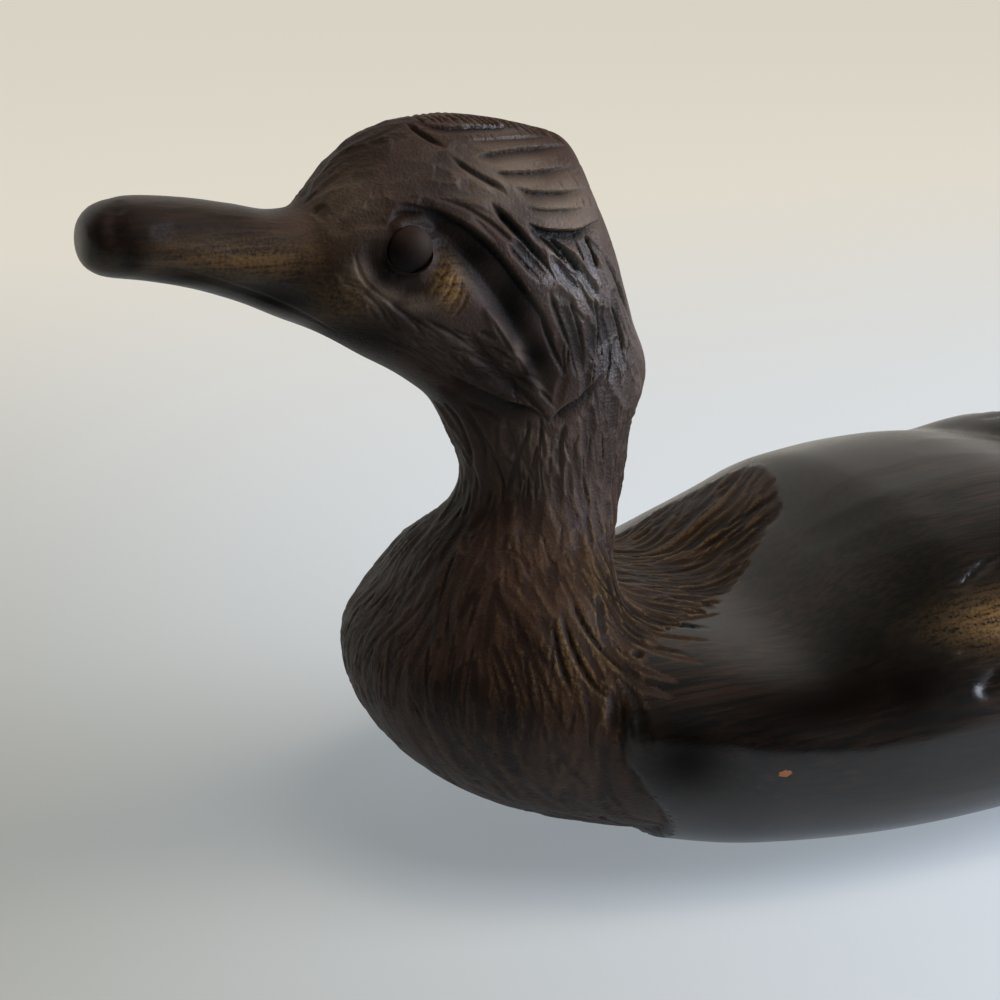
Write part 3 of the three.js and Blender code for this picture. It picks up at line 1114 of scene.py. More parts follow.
# Outlines of the carved places, seen from the side, in millimetres
CHEEK: Outline = (
    (-141, 147), (-134, 134), (-126, 127), (-112, 116), (-104, 111), (-90, 107), (-92, 116), (-100, 126),
    (-110, 132), (-122, 131), (-133, 140),
)
CROWN: Outline = (
    (-142, 150), (-140, 164), (-130, 174), (-116, 177), (-104, 167), (-96, 159), (-90, 148), (-100, 150),
    (-112, 157), (-128, 160),
)
CREST: Outline = ((-112, 174), (-82, 172), (-72, 164), (-70, 149), (-94, 151), (-102, 163))
NAPE: Outline = (
    (-94, 150), (-76, 150), (-70, 135), (-64, 118), (-64, 100), (-72, 100), (-84, 112), (-88, 130),
)
NAPE_EDGE: Outline = (
    (-76, 150), (-70, 150), (-58, 130), (-50, 112), (-56, 100), (-64, 100), (-64, 118), (-70, 135),
)
NECK: Outline = ((-112, 112), (-86, 108), (-54, 112), (-58, 80), (-66, 74), (-108, 74), (-106, 92))
BREAST: Outline = ((-134, 78), (-100, 84), (-68, 78), (-80, 50), (-88, 20), (-66, 1), (-124, 1), (-134, 30))
CAPE: Outline = ((-82, 80), (-60, 80), (-8, 80), (-8, 58), (-50, 48), (-90, 48))
BACK: Outline = ((-10, 45), (60, 45), (150, 58), (185, 66), (120, 90), (0, 90), (-30, 70))


@dataclass(frozen=True)
class Carving:
    """The tool marks, as chosen from the photograph, and for what it doesn't show in millimetres."""

    eye: Sequence[Mark] = (
        Mark(((370, 240), (375, 265), (391, 284), (418, 289), (441, 276)), 4.6, 1.5, RASP),
        Mark(((386, 240), (388, 260), (401, 275), (420, 274)), 1.6, 0.9, RASP),
        Mark(((434, 240), (441, 256), (438, 270), (424, 281)), 3.2, 1.0, RASP),
        Mark(((391, 231), (405, 221), (422, 219), (438, 227)), 1.9, -0.9, RASP),
        Mark(((386, 226), (404, 213), (427, 211), (450, 226)), 1.3, 0.8),
        Mark(((354, 250), (360, 274), (379, 296), (404, 306), (430, 301)), 0.9, 0.5),
        Mark(((450, 266), (442, 280), (430, 300)), 0.6, 0.35),
        Mark(((456, 272), (450, 290), (437, 307)), 0.6, 0.4),
        Mark(((463, 280), (459, 295), (446, 313)), 0.6, 0.35),
        Mark(((468, 292), (463, 306), (452, 318)), 0.6, 0.35),
    )
    brow: Sequence[Mark] = (
        Mark(((392, 213), (420, 220), (450, 238), (475, 264), (500, 297), (520, 331), (537, 365), (550, 394)),
             4.8, 2.9, RASP),
        Mark(((396, 203), (430, 207), (458, 219), (482, 237), (505, 261), (525, 289), (545, 321), (558, 352)),
             4.6, 1.4, KNIFE),
        Mark(((430, 196), (460, 204), (490, 222), (515, 245), (532, 268)), 1.1, 0.9),
    )
    cheek: Sequence[Mark] = (
        Mark(((484, 306), (500, 330), (516, 355), (530, 378), (542, 396)), 1.9, -1.1, RASP),
        Mark(((466, 335), (488, 362), (512, 388), (535, 408)), 2.4, 1.0, RASP),
        Mark(((490, 318), (507, 345), (522, 370)), 0.7, 0.6),
        Mark(((360, 290), (379, 307), (391, 327)), 1.0, 0.8),
        Mark(((372, 296), (392, 316), (404, 338)), 0.9, 0.6),
        Mark(((385, 300), (413, 319), (437, 333)), 1.0, 0.8),
        Mark(((400, 312), (420, 330), (431, 351)), 0.8, 0.6),
        Mark(((425, 320), (455, 336), (476, 353)), 1.0, 0.8),
        Mark(((442, 349), (460, 365), (476, 383)), 0.9, 0.7),
        Mark(((460, 355), (472, 370), (482, 387)), 0.8, 0.6),
        Mark(((470, 331), (484, 352), (501, 376)), 0.8, 0.6),
        Mark(((405, 345), (428, 360), (448, 378)), 1.0, 0.6),
    )
    jaw: Sequence[Mark] = (
        Mark(((448, 374), (475, 389), (505, 402), (535, 411), (549, 426)), 4.5, 1.3, KNIFE),
        Mark(((547, 426), (562, 410), (582, 397), (606, 371)), 4.5, 1.3, KNIFE),
        Mark(((440, 384), (470, 402), (505, 418), (545, 436)), 3.2, 0.9, RASP),
    )
    forehead: Sequence[Mark] = (
        Mark(((328, 150), (355, 153), (382, 160), (410, 168)), 1.1, 0.4),
        Mark(((348, 176), (374, 170), (402, 176)), 1.0, 0.35),
        Mark(((362, 132), (390, 134), (420, 144)), 1.0, 0.35),
        Mark(((318, 172), (345, 160), (380, 158), (420, 168), (455, 184)), 3.0, 0.5, GOUGE),
        Mark(((340, 205), (375, 188), (415, 186), (450, 198)), 2.6, 0.45, GOUGE),
        Mark(((350, 140), (385, 126), (410, 128), (440, 146)), 2.6, 0.4, GOUGE),
    )
    crest: Sequence[Mark] = (
        Mark(((392, 112), (407, 122), (425, 135), (447, 148)), 1.4, 1.2),
        Mark(((448, 154), (475, 172), (500, 187), (516, 201)), 1.5, 1.3),
        Mark(((410, 120), (450, 126), (480, 125), (512, 125), (540, 127), (560, 134)), 3.6, 1.0, KNIFE),
        Mark(((470, 157), (500, 151), (528, 147), (556, 145), (578, 148)), 4.2, 1.1, KNIFE),
        Mark(((462, 140), (500, 138), (535, 136), (568, 138)), 3.2, 0.6, KNIFE),
        Mark(((488, 171), (515, 172), (545, 170), (570, 166), (588, 163)), 3.8, 1.1, KNIFE),
        Mark(((512, 186), (540, 192), (566, 192), (595, 186)), 4.0, 1.1, KNIFE),
        Mark(((520, 205), (548, 210), (572, 210), (598, 203)), 3.6, 0.9, KNIFE),
        Mark(((526, 221), (550, 230), (575, 231), (601, 219)), 5.0, 1.8, KNIFE),
    )
    ticks: Sequence[Mark] = tuple(
        Mark(((across, top), (across + 2, top + 7), (across + 3, top + 14)), 0.5, 0.4)
        for top, first in ((194, 546), (150, 478), (126, 440)) for across in range(first, first + 54, 7)
    )
    nape: Sequence[Mark] = (
        Mark(((490, 200), (510, 222), (527, 240), (545, 262), (557, 282)), 1.7, 2.0),
        Mark(((508, 243), (525, 262), (542, 282)), 1.2, 1.3),
        Mark(((525, 222), (545, 238), (563, 256), (577, 276)), 1.4, 1.6),
        Mark(((545, 229), (565, 250), (581, 270), (597, 282)), 1.6, 1.9),
        Mark(((570, 230), (582, 250), (589, 268)), 1.2, 1.3),
        Mark(((584, 229), (595, 252), (602, 279)), 1.3, 1.5),
        Mark(((600, 282), (585, 280), (568, 271), (556, 258)), 3.0, 1.0, KNIFE),
        Mark(((512, 236), (530, 257), (550, 278)), 2.6, 1.2, GOUGE),
        Mark(((550, 254), (568, 276), (590, 300)), 2.4, 1.1, GOUGE),
        Mark(((577, 262), (591, 283), (604, 304)), 2.2, 1.1, GOUGE),
        Mark(((560, 300), (572, 328), (580, 354)), 2.0, 0.9, GOUGE),
        Mark(((598, 310), (607, 335), (612, 358)), 2.2, 0.9, GOUGE),
        Mark(((550, 290), (561, 321), (575, 360)), 1.3, 1.3),
        Mark(((568, 292), (580, 330), (586, 366)), 1.1, 1.1),
        Mark(((595, 293), (601, 330), (596, 362)), 1.2, 1.2),
        Mark(((611, 298), (621, 330), (626, 366)), 1.2, 1.2),
        Mark(((580, 283), (596, 314), (611, 342)), 1.0, 1.0),
        Mark(((539, 308), (550, 340), (566, 378)), 1.1, 1.1),
        Mark(((604, 250), (617, 280), (630, 318)), 1.1, 1.0),
        Mark(((612, 340), (612, 365), (600, 392)), 1.2, 1.1),
        Mark(((630, 330), (630, 360), (618, 398)), 1.1, 1.0),
    )
    bill: Sequence[Mark] = (
        Mark(((119, 200), (114, 222), (112, 248)), 3.0, 0.8, RASP),
        Mark(((150, 232), (190, 232), (235, 240), (280, 247)), 4.5, 0.7, RASP),
        Mark(((118, 262), (165, 268), (225, 284), (290, 308), (340, 334)), 1.0, 0.5, RASP),
    )
    throat: Sequence[Mark] = (
        Mark(((445, 402), (462, 432), (470, 462), (462, 492)), 1.5, 1.0),
        Mark(((462, 410), (482, 440), (487, 475)), 1.4, 0.8),
        Mark(((505, 420), (516, 455), (515, 495)), 1.3, 0.7),
        Mark(((566, 420), (560, 450), (562, 490)), 1.3, 0.8),
        Mark(((596, 410), (590, 450), (584, 495)), 1.3, 0.8),
    )
    fan: Sequence[Mark] = (
        Mark(((-62, -2), (-44, -5), (-26, -7), (-10, -9)), 3.2, 1.0, KNIFE, View.TOP, (1,)),
        Mark(((-60, -9), (-42, -15), (-24, -19), (-8, -20)), 3.4, 1.1, KNIFE, View.TOP, (1,)),
        Mark(((-56, -18), (-38, -26), (-20, -30), (-6, -31)), 3.4, 1.1, KNIFE, View.TOP, (1,)),
        Mark(((612, 533), (655, 535), (700, 524), (745, 500)), 1.5, 1.0),
        Mark(((606, 545), (650, 552), (700, 548), (745, 530)), 1.4, 0.9),
        Mark(((596, 556), (640, 575), (690, 588), (735, 582)), 1.5, 1.0),
        Mark(((590, 566), (612, 592), (650, 618), (712, 628)), 1.6, 1.2),
        Mark(((580, 580), (605, 615), (640, 642), (690, 655)), 1.5, 1.0),
        Mark(((568, 590), (590, 632), (620, 665), (655, 690)), 1.6, 1.2),
        Mark(((560, 605), (575, 650), (600, 690), (632, 704)), 1.6, 1.1),
        Mark(((640, 548), (680, 540), (720, 520), (752, 496)), 1.1, 0.7),
        Mark(((660, 600), (690, 606), (722, 600)), 1.0, 0.7),
        Mark(((552, 620), (562, 665), (578, 705)), 1.4, 1.0),
    )
    back: Sequence[Mark] = (
        Mark(((62, 0), (80, 0), (110, 0), (150, 0)), 9.0, 2.6, RASP, View.TOP),
        Mark(((1012, 441), (975, 433), (940, 428), (905, 428)), 6.0, 1.6, KNIFE, sides=(-1,)),
        Mark(((953, 592), (966, 577), (984, 560), (1004, 548)), 3.6, 1.1, KNIFE),
        Mark(((962, 612), (980, 604), (1004, 600)), 3.4, 1.0, KNIFE),
        Mark(((955, 652), (972, 650), (1004, 640)), 4.0, 0.8, KNIFE),
        Mark(((976, 690), (1004, 668)), 4.0, 1.2, KNIFE),
    )
    wing: Sequence[Mark] = (
        Mark(((16, -58), (40, -52), (66, -45), (96, -34)), 6.0, 1.2, KNIFE, View.TOP),
        Mark(((22, -68), (46, -61), (72, -51), (100, -40)), 6.0, 1.3, KNIFE, View.TOP),
        Mark(((66, -26), (84, -22), (102, -17), (128, -9)), 7.0, 1.2, KNIFE, View.TOP),
        Mark(((68, -34), (86, -30), (106, -23), (136, -12)), 7.0, 1.2, KNIFE, View.TOP),
        Mark(((72, -16), (88, -13), (110, -8), (130, -4)), 6.0, 1.0, KNIFE, View.TOP),
    )
    tail: Sequence[Mark] = tuple(
        Mark(((126, -spread * 1.5), (150, -spread * 1.35), (170, -spread * 1.2), (189, -spread)),
             4.5, 0.9, KNIFE, View.TOP)
        for spread in (3, 8, 13, 18)
    )
    patches: Sequence[Patch] = (
        Patch("cheek", CHEEK, VEINER, 240, (4, 12), (0.6, 1.2), (0.2, 0.6)),
        Patch("crown", CROWN, GOUGE, 230, (5, 16), (1.2, 3.0), (0.2, 0.55)),
        Patch("crown lines", CROWN, VEINER, 150, (4, 12), (0.5, 0.9), (0.15, 0.5)),
        Patch("crest", CREST, VEINER, 170, (3, 9), (0.5, 0.8), (0.1, 0.35), 50),
        Patch("nape facets", NAPE, GOUGE, 170, (6, 16), (1.3, 2.8), (0.3, 0.9), 14),
        Patch("nape", NAPE, VEINER, 170, (4, 12), (0.45, 0.9), (0.25, 0.8), 16),
        Patch("nape edge", NAPE_EDGE, VEINER, 160, (4, 11), (0.5, 0.9), (0.1, 0.4), 20),
        Patch("neck facets", NECK, GOUGE, 300, (6, 20), (1.0, 2.2), (0.2, 0.7), 12),
        Patch("neck", NECK, VEINER, 300, (5, 18), (0.6, 1.1), (0.2, 0.8)),
        Patch("breast facets", BREAST, GOUGE, 700, (8, 26), (1.0, 2.2), (0.12, 0.5), 12),
        Patch("breast", BREAST, VEINER, 620, (6, 24), (0.7, 1.2), (0.15, 0.7), 12),
        Patch("cape facets", CAPE, GOUGE, 420, (10, 28), (1.2, 2.6), (0.3, 1.1), 9),
        Patch("cape", CAPE, VEINER, 300, (7, 24), (0.7, 1.3), (0.3, 0.9), 9),
    )
    feathers: Patch = Patch("back", BACK, GOUGE, 70, (40, 90), (5.0, 10.0), (0.1, 0.3), 4)
    crest_hatch: int = 20  # short cuts across the top of the crest
    overrun: Pair = (0.5, 4)  # how far the cape's cuts run out over the gloss, in millimetres
    seed: int = 7
    hatch_seed: int = 3

    def traces(self, skin: Skin, polish: Polish) -> list[Trace]:
        """Lays every mark on the skin, on both sides of the bird.

        Args:
            skin: The rough form's surface.
            polish: Where the wood is left smooth.

        Returns:
            The cuts.
        """
        marks = (*self.eye, *self.brow, *self.cheek, *self.jaw, *self.forehead, *self.crest, *self.ticks,
                 *self.nape, *self.bill, *self.throat, *self.fan, *self.back, *self.wing, *self.tail,
                 *self._hatch())
        found = [
            Trace(mark.tool, skin.lay(mark.points, mark.view, side), mark.width, mark.depth, -side)
            for mark in marks for side in mark.sides
        ]
        chance = np.random.default_rng(self.seed)
        flow = FeatherFlow()
        smooth = polish.amount(skin.points)

        def ends(path: Array) -> Array:
            """Ends a cut on the gloss, and one of the cape some way over it."""
            return polish.runs_out(path, chance.uniform(*self.overrun))

        for patch in self.patches:
            found.extend(patch.traces(skin, flow, chance, smooth < 0.3, ends))
        found.extend(polish.chosen_strands(skin))
        found.extend(self.feathers.traces(skin, flow, chance, smooth > 0.9))
        return found

    def _hatch(self) -> list[Mark]:
        """Gives the short cuts across the top of the crest.

        Returns:
            The cuts.
        """
        chance = np.random.default_rng(self.hatch_seed)
        marks = []
        for x in np.linspace(-114, -81, self.crest_hatch):
            lean = chance.uniform(0.5, 2.5)
            marks.append(Mark(((x, -0.5), (x + lean / 2, -3), (x + lean, -6)),
                              chance.uniform(0.7, 1.0), chance.uniform(0.5, 0.9), view=View.TOP))
        return marks


@dataclass(frozen=True)
class CarvedSkin:
    """A block's skin once it has been carved, with what its finish needs to know, by point."""

    points: Array
    marks: dict[str, Array]


def carved(obj: Form, traces: Sequence[Trace], tips: Sequence[Trace], polish: Polish) -> CarvedSkin:
    """Sinks the cuts into a form.

    Args:
        obj: The form, at its rough size.
        traces: The cuts.
        tips: The cape's strands that reach over the gloss.
        polish: Where the wood is left smooth.

    Returns:
        The new points and the finish's values.
    """
    points, normals = points_of(obj), normals_of(obj)
    soft, crisp, tone = cut_depths(points, normals, traces)
    _, covered, _ = cut_depths(points, normals, tips)
    smooth = polish.amount(points, covered)
    depth = soft + crisp + polish.step(points, covered)
    edges = np.empty(len(obj.data.edges) * 2, dtype=np.int64)
    obj.data.edges.foreach_get("vertices", edges)
    a, b = edges.reshape(-1, 2).T
    count = np.maximum(np.bincount(a, minlength=len(points)) + np.bincount(b, minlength=len(points)), 1)
    around = crisp
    for _ in range(2):
        total = np.bincount(a, around[b], len(points)) + np.bincount(b, around[a], len(points))
        around = total / count
    return CarvedSkin(points - normals * depth[:, None], {
        "cut": crisp,
        "ridge": around - crisp,
        "hollow": soft,
        "tone": tone,
        "polish": smooth,
    })


def label(obj: Form, skin: CarvedSkin) -> None:
    """Moves a form's points to the carved skin and stores the finish's values on them."""
    set_points(obj, skin.points)
    for name, values in skin.marks.items():
        layer = obj.data.attributes.new(name, "FLOAT", "POINT")
        layer.data.foreach_set("value", values.astype(np.float32))


# A soft patch's centre, its reach along each axis, and its share
Spot = tuple[Triple, Triple, float]

# Where the stain is thinner, so that the warm wood shows: by the eye, on the face and along the bill; the
# patch on the flank's wing edge is worn wood and also a painted highlight, in place of the warm bulb's
# reflection
WORN_AND_HIGHLIT: Sequence[Spot] = (
    ((-115, -22, 141), (3.5, 9, 5.5), 1.0),
    ((-138, -15, 138), (9, 8, 7), 0.4),
    ((-162, -13, 148), (22, 8, 5), 0.5),
    ((14, -61, 57), (17, 10, 5), 1.0),
)
# Pale brown patches: dried finish on the crest, the brow and the neck's back, and painted highlights along the
# cheek's ridge and round the lower lid
DUST_AND_SHEEN: Sequence[Spot] = (
    ((-97, -16, 163), (14, 9, 9), 0.9),
    ((-80, -20, 137), (12, 10, 10), 0.35),
    ((-118, -12, 166), (14, 12, 8), 0.15),
    ((-88, -18, 97), (14, 9, 13), 0.35),
    ((-118, -20, 128), (10, 9, 6), 0.2),
    ((-84, -18, 155), (11, 9, 10), 1.0),
    ((-136, -12, 160), (11, 11, 9), 0.7),
    ((-60, -12, 132), (7, 12, 22), 0.6),
    ((-62, -14, 104), (9, 12, 16), 0.4),
    ((-102, -21, 131), (3, 9, 4.5), 0.5),
    ((-97, -20, 124), (3, 9, 4.5), 0.6),
    ((-92, -19, 116), (3, 9, 4.5), 0.6),
    ((-134, -19, 144), (3.2, 9, 4), 0.75),
    ((-129, -20, 139), (4, 9, 3), 0.75),
    ((-122, -21, 137), (4.5, 9, 2.4), 0.6),
)
# Where the lacquer stands thick and bright: over the strands of the nape
LACQUERED: Sequence[Spot] = (
    ((-89, -21, 143), (9, 10, 8), 1.0),
    ((-80, -20, 137), (10, 10, 10), 1.0),
    ((-72, -17, 122), (8, 10, 14), 0.8),
    ((-97, -8, 172), (14, 9, 4), 0.8),
)
# Painted shade, laid as the darkest stain: under the bill, behind and round the eye, under the brow, in the
# flank's pocket and along the flank's dark band
PAINTED_SHADE: Sequence[Spot] = (
    ((-181, -9, 150), (4, 9, 6), 0.8),
    ((-172, -8, 144), (14, 12, 4), 1.0),
    ((-166, -8, 139), (16, 12, 4), 1.0),
    ((-152, -9, 138), (14, 12, 5), 1.0),
    ((-134, -9, 129), (14, 12, 5), 0.9),
    ((-122, -20, 156), (9, 9, 2.5), 0.7),
    ((-109, -22, 147), (7, 9, 4), 0.9),
    ((-100, -22, 135), (5, 9, 9), 0.9),
    ((-93, -20, 119), (5, 9, 9), 0.9),
    ((-128, -21, 144), (3.4, 9, 3.4), 0.85),
    ((-124, -20, 157), (7, 9, 3), 0.7),
    ((-76, -62, 38), (14, 12, 14), 1.0),
    ((-40, -64, 46), (42, 12, 10), 1.0),
    ((-20, -66, 47), (17, 12, 9), 1.0),
)
# Where daylight has faded the stain to an olive brown: over the cape and the neck's foot
FADED: Sequence[Spot] = (
    ((-50, -34, 60), (26, 22, 14), 1.0),
    ((-78, -30, 68), (16, 16, 16), 1.0),
    ((-92, -42, 58), (16, 16, 14), 0.85),
    ((-30, -14, 62), (28, 20, 10), 0.9),
)


@dataclass(frozen=True)
class Spots:
    """Soft patches of the finish, alike on both sides of the bird."""

    spots: Sequence[Spot]
    fall: float = 1.2  # how steeply a patch fades towards its reach

    def amount(self, points: Array) -> Array:
        """Gives the share of the patches at each point.

        Args:
            points: Places on the skin, in millimetres.

        Returns:
            The share at each.
        """
        found = np.zeros(len(points))
        left = points * [1, 0, 1] - np.abs(points) * [0, 1, 0]
        for centre, reach, share in self.spots:
            distance = np.linalg.norm((left - centre) / np.array(reach, float), axis=1)
            found = np.maximum(found, share * np.exp(-self.fall * distance ** 2))
        return found


@dataclass(frozen=True)
class Holes:
    """What is drilled and cut into the wood for the pieces it holds, whose own sizes come from the frame."""

    fit: float
    ledge: float = 9
    hollow_top: float = 46
    neck_screw_radius: float = 2.4
    board_screws: int = 6
    board_screw_radius: float = 1.4
    board_screw_head_depth: float = 1.7
    putty: float = 0.08  # gap left round an eye once it is set in putty
    beyond: float = 40  # how far a cutting form reaches past the skin

    def upright(self) -> list[Form]:
        """Makes the forms cut from below: the board's rebate, the hollow, the well and the bores.

        Returns:
            The forms.
        """
        low, high = box_of("bottom_board")
        middle = (low + high) / 2
        half = (high - low) / 2
        rebate = turned("rebate", self._pin(1, -self.beyond, high[2]), 96)
        rebate.scale = (half[0] + self.fit, half[1] + self.fit, 1)
        hollow = turned("hollow", self._pin(1, 0, self.hollow_top), 96)
        hollow.scale = (half[0] - self.ledge, half[1] - self.ledge, 1)
        forms = [moved(form, (middle[0], 0, 0)) for form in (rebate, hollow)]
        well = self._round("neck_washer", None, box_of("neck_washer")[1][2])
        forms += [well, self.neck_screw(), self.dowel()]
        forms += [self._board_screw(number + 1) for number in range(self.board_screws)]
        return forms

    def dowel(self) -> Form:
        """Makes the form of the dowel's bore."""
        low, high = box_of("neck_dowel")
        radius = (high[0] - low[0]) / 2 + self.fit
        form = turned("dowel_bore", self._pin(radius, low[2] - self.fit, high[2] + self.fit))
        return moved(form, ((low[0] + high[0]) / 2, 0, 0))

    def neck_screw(self) -> Form:
        """Makes the form of the screw's bore."""
        return self._round("neck_screw", self.neck_screw_radius, box_of("neck_screw")[1][2] + self.fit)

    def eye(self, name: str, side: int) -> list[Form]:
        """Makes the forms of one eye's socket and of the bore for its wire.

        Args:
            name: The eye's node.
            side: -1 for the bird's left and 1 for its right.

        Returns:
            The two forms.
        """
        forms = []
        for node in (name, f"{name}_wire"):
            low, high = box_of(node)
            radius = (high[0] - low[0]) / 2 + self.putty
            depth = min(abs(low[1]), abs(high[1])) - self.putty
            form = turned(f"{node}_bore", self._pin(radius, depth, depth + self.beyond))
            form.rotation_euler.x = -side * math.pi / 2
            forms.append(moved(form, ((low[0] + high[0]) / 2, 0, (low[2] + high[2]) / 2)))
        return forms

    def _pin(self, radius: float, low: float, high: float) -> Outline:
        """Gives the profile of a plain pin."""
        return (0, low), (radius, low), (radius, high), (0, high)

    def _round(self, node: str, radius: float | None, top: float) -> Form:
        """Makes an upright round form under a node, from below the bird up to a height."""
        low, high = box_of(node)
        around = radius + self.fit if radius else (high[0] - low[0]) / 2 + 2 * self.fit
        form = turned(f"{node}_bore", self._pin(around, -self.beyond, top))
        return moved(form, ((low[0] + high[0]) / 2, 0, 0))

    def _board_screw(self, number: int) -> Form:
        """Makes the form of one countersunk bore of the board's screws.

        Args:
            number: The screw's, from 1.

        Returns:
            The form.
        """
        low, high = box_of(f"board_screw_{number}")
        head, shank = (high[0] - low[0]) / 2 + self.fit, self.board_screw_radius + self.fit
        bottom, top = -self.beyond, high[2] + self.fit
        cone = low[2] + self.board_screw_head_depth
        profile = ((0, bottom), (head, bottom), (head, low[2]), (shank, cone), (shank, top), (0, top))
        form = turned(f"board_screw_{number}_bore", profile)
        return moved(form, ((low[0] + high[0]) / 2, (low[1] + high[1]) / 2, 0))


def box_of(node: str) -> tuple[Array, Array]:
    """Gives a CAD node's lowest and highest corners, in millimetres."""
    low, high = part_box(node)
    return np.array(low) / MM, np.array(high) / MM


def moved(obj: Form, where: Sequence[float]) -> Form:
    """Puts an object at a place given in millimetres."""
    obj.location = [value * MM for value in where]
    return obj


def merged(forms: Sequence[Form]) -> Form:
    """Unites several closed forms into the first one."""
    whole = applied(forms[0])
    for form in forms[1:]:
        cut_by(whole, form, "UNION")
    return whole


def copied(obj: Form, name: str) -> Form:
    """Copies an object with its mesh."""
    twin = bpy.data.objects.new(name, obj.data.copy())
    twin.data.name = name
    bpy.context.scene.collection.objects.link(twin)
    return twin


def shaded(obj: Form, angle: float) -> None:
    """Shades a mesh smooth, with a crease where faces meet at more than an angle in degrees."""
    obj.data.shade_smooth()
    obj.data.set_sharp_from_angle(angle=math.radians(angle))


@dataclass(frozen=True)
class WoodBlocks:
    """The two blocks, cut out of one carving as the real ones are, so that each mark runs past the joint."""

    pattern: Pattern
    whole: WholeForm
    holes: Holes
    carving: Carving = Carving()
    polish: Polish = Polish()
    # worn spots, and on the flank a painted highlight
    wear_and_highlight: Spots = Spots(WORN_AND_HIGHLIT)
    # painted shade under the bill, round the eye and on the flank
    painted_shade_spots: Spots = Spots(PAINTED_SHADE)
    faded: Spots = Spots(FADED)
    # pale dried finish, and painted highlights on the cheek's ridge and lower lid
    dust_and_sheen_spots: Spots = Spots(DUST_AND_SHEEN)
    lacquer: Spots = Spots(LACQUERED)
    head_reach: float = 79  # how far behind the breast the head block ends
    head_room: Triple = (60, 100, 150)  # how far its zone reaches past the bill, to each side and up
    ground: Triple = (400, 200, 60)  # how far the block below the bird reaches along each axis
    flat: float = 0.002  # how far off the joint a point still counts as on it, in millimetres
    crease: float = 48  # degrees

    def build(self) -> tuple[Form, Form]:
        """Carves, splits and drills the wood.

        Returns:
            The body block and the head block.
        """
        body = self.whole.make()
        body.name = "carved_body"
        rough_skin = Skin(body)
        traces = self.carving.traces(rough_skin, self.polish)
        log.info("%d cuts laid on the skin", len(traces))
        skin = carved(body, traces, self.polish.feather_tips(traces), self.polish)
        # worn spots, the one on the flank also a painted highlight
        skin.marks["warm"] = self.wear_and_highlight.amount(skin.points)
        # the painted shade, stored as the mark named dark
        skin.marks["dark"] = self.painted_shade_spots.amount(skin.points)
        skin.marks["olive"] = self.faded.amount(skin.points)
        # pale dried finish, with painted highlights on the cheek and lower lid
        skin.marks["dust_and_sheen"] = self.dust_and_sheen_spots.amount(skin.points)
        skin.marks["shine"] = self.lacquer.amount(skin.points)
        label(body, skin)
        head = copied(body, "carved_head")
        length, width, depth = self.ground
        below = block("below", (-length, -width, -depth), (length, width, 0))
        cut_by(body, merged([below, self._head_zone(), *self.holes.upright()]), "DIFFERENCE")
        bores = [self.holes.dowel(), self.holes.neck_screw()]
        bores += [form for name, side in EYES for form in self.holes.eye(name, side)]
        cut_by(head, self._head_zone(), "INTERSECT")
        cut_by(head, merged(bores), "DIFFERENCE")
        for block_of_wood in (body, head):
            shaded(block_of_wood, self.crease)
            self._split_joint(block_of_wood)
            log.info("%s: %d faces", block_of_wood.name, len(block_of_wood.data.polygons))
        return body, head

    def _head_zone(self) -> Form:
        """Makes the block of space that holds the head block."""
        ahead, aside, above = self.head_room
        front, back = self.pattern.bill_tip - ahead, self.pattern.breast + self.head_reach
        seat = self.pattern.seat
        return block("head_zone", (front, -aside, seat), (back, aside, seat + above))

    def _split_joint(self, obj: Form) -> None:
        """Keeps the skin's shading apart from the flat joint's, however low the angle between them.

        Args:
            obj: The block of wood.
        """
        heights = points_of(obj)[:, 2]
        ends = np.empty(len(obj.data.edges) * 2, dtype=np.int64)
        obj.data.edges.foreach_get("vertices", ends)
        on_joint = np.all(np.abs(heights[ends.reshape(-1, 2)] - self.pattern.seat) < self.flat, axis=1)
        creases = np.zeros(len(on_joint), dtype=bool)
        layers = obj.data.attributes
        sharp = layers.get("sharp_edge") or layers.new("sharp_edge", "BOOLEAN", "EDGE")
        sharp.data.foreach_get("value", creases)
        sharp.data.foreach_set("value", creases | on_joint)


EYES = (("left_eye", -1), ("right_eye", 1))


@dataclass(frozen=True)
class GlassEye:
    """A domed glass eye, fused to its wire and set in a drilled socket."""

    name: str
    side: int
    dome: float = 1.7
    recess: float = 0.5
    chamfer: float = 0.4
    rim: float = 0.3  # straight edge left under the dome
    steps: int = 18
    facets: int = 64
    crease: float = 35  # degrees

    def build(self) -> Form:
        """Turns the eye as a straight barrel under a dome.

        Returns:
            The eye.
        """
        low, high = box_of(self.name)
        radius = (high[0] - low[0]) / 2
        near, far = sorted((abs(low[1]), abs(high[1])))
        far -= self.recess
        ball = (radius ** 2 + self.dome ** 2) / (2 * self.dome)
        spread = math.asin(radius / ball)
        profile = [(0.0, near), (radius - self.chamfer, near), (radius, near + self.chamfer)]
        profile.append((radius, far - self.dome - self.rim))
        for step in range(self.steps):
            angle = spread * (1 - step / self.steps)
            profile.append((ball * math.sin(angle), far - ball * (1 - math.cos(angle))))
        profile.append((0.0, far))
        eye = turned(f"glass_{self.name}", profile, self.facets)
        eye.rotation_euler.x = -self.side * math.pi / 2
        moved(eye, ((low[0] + high[0]) / 2, 0, (low[2] + high[2]) / 2))
        applied(eye)
        shaded(eye, self.crease)
        return eye


MIX_SHARE, MIX_UNDER, MIX_OVER, MIX_RESULT = 0, 6, 7, 2  # sockets of a colour mix
SMOOTH = {"interpolation_type": "SMOOTHSTEP"}  # for a range that eases in and out


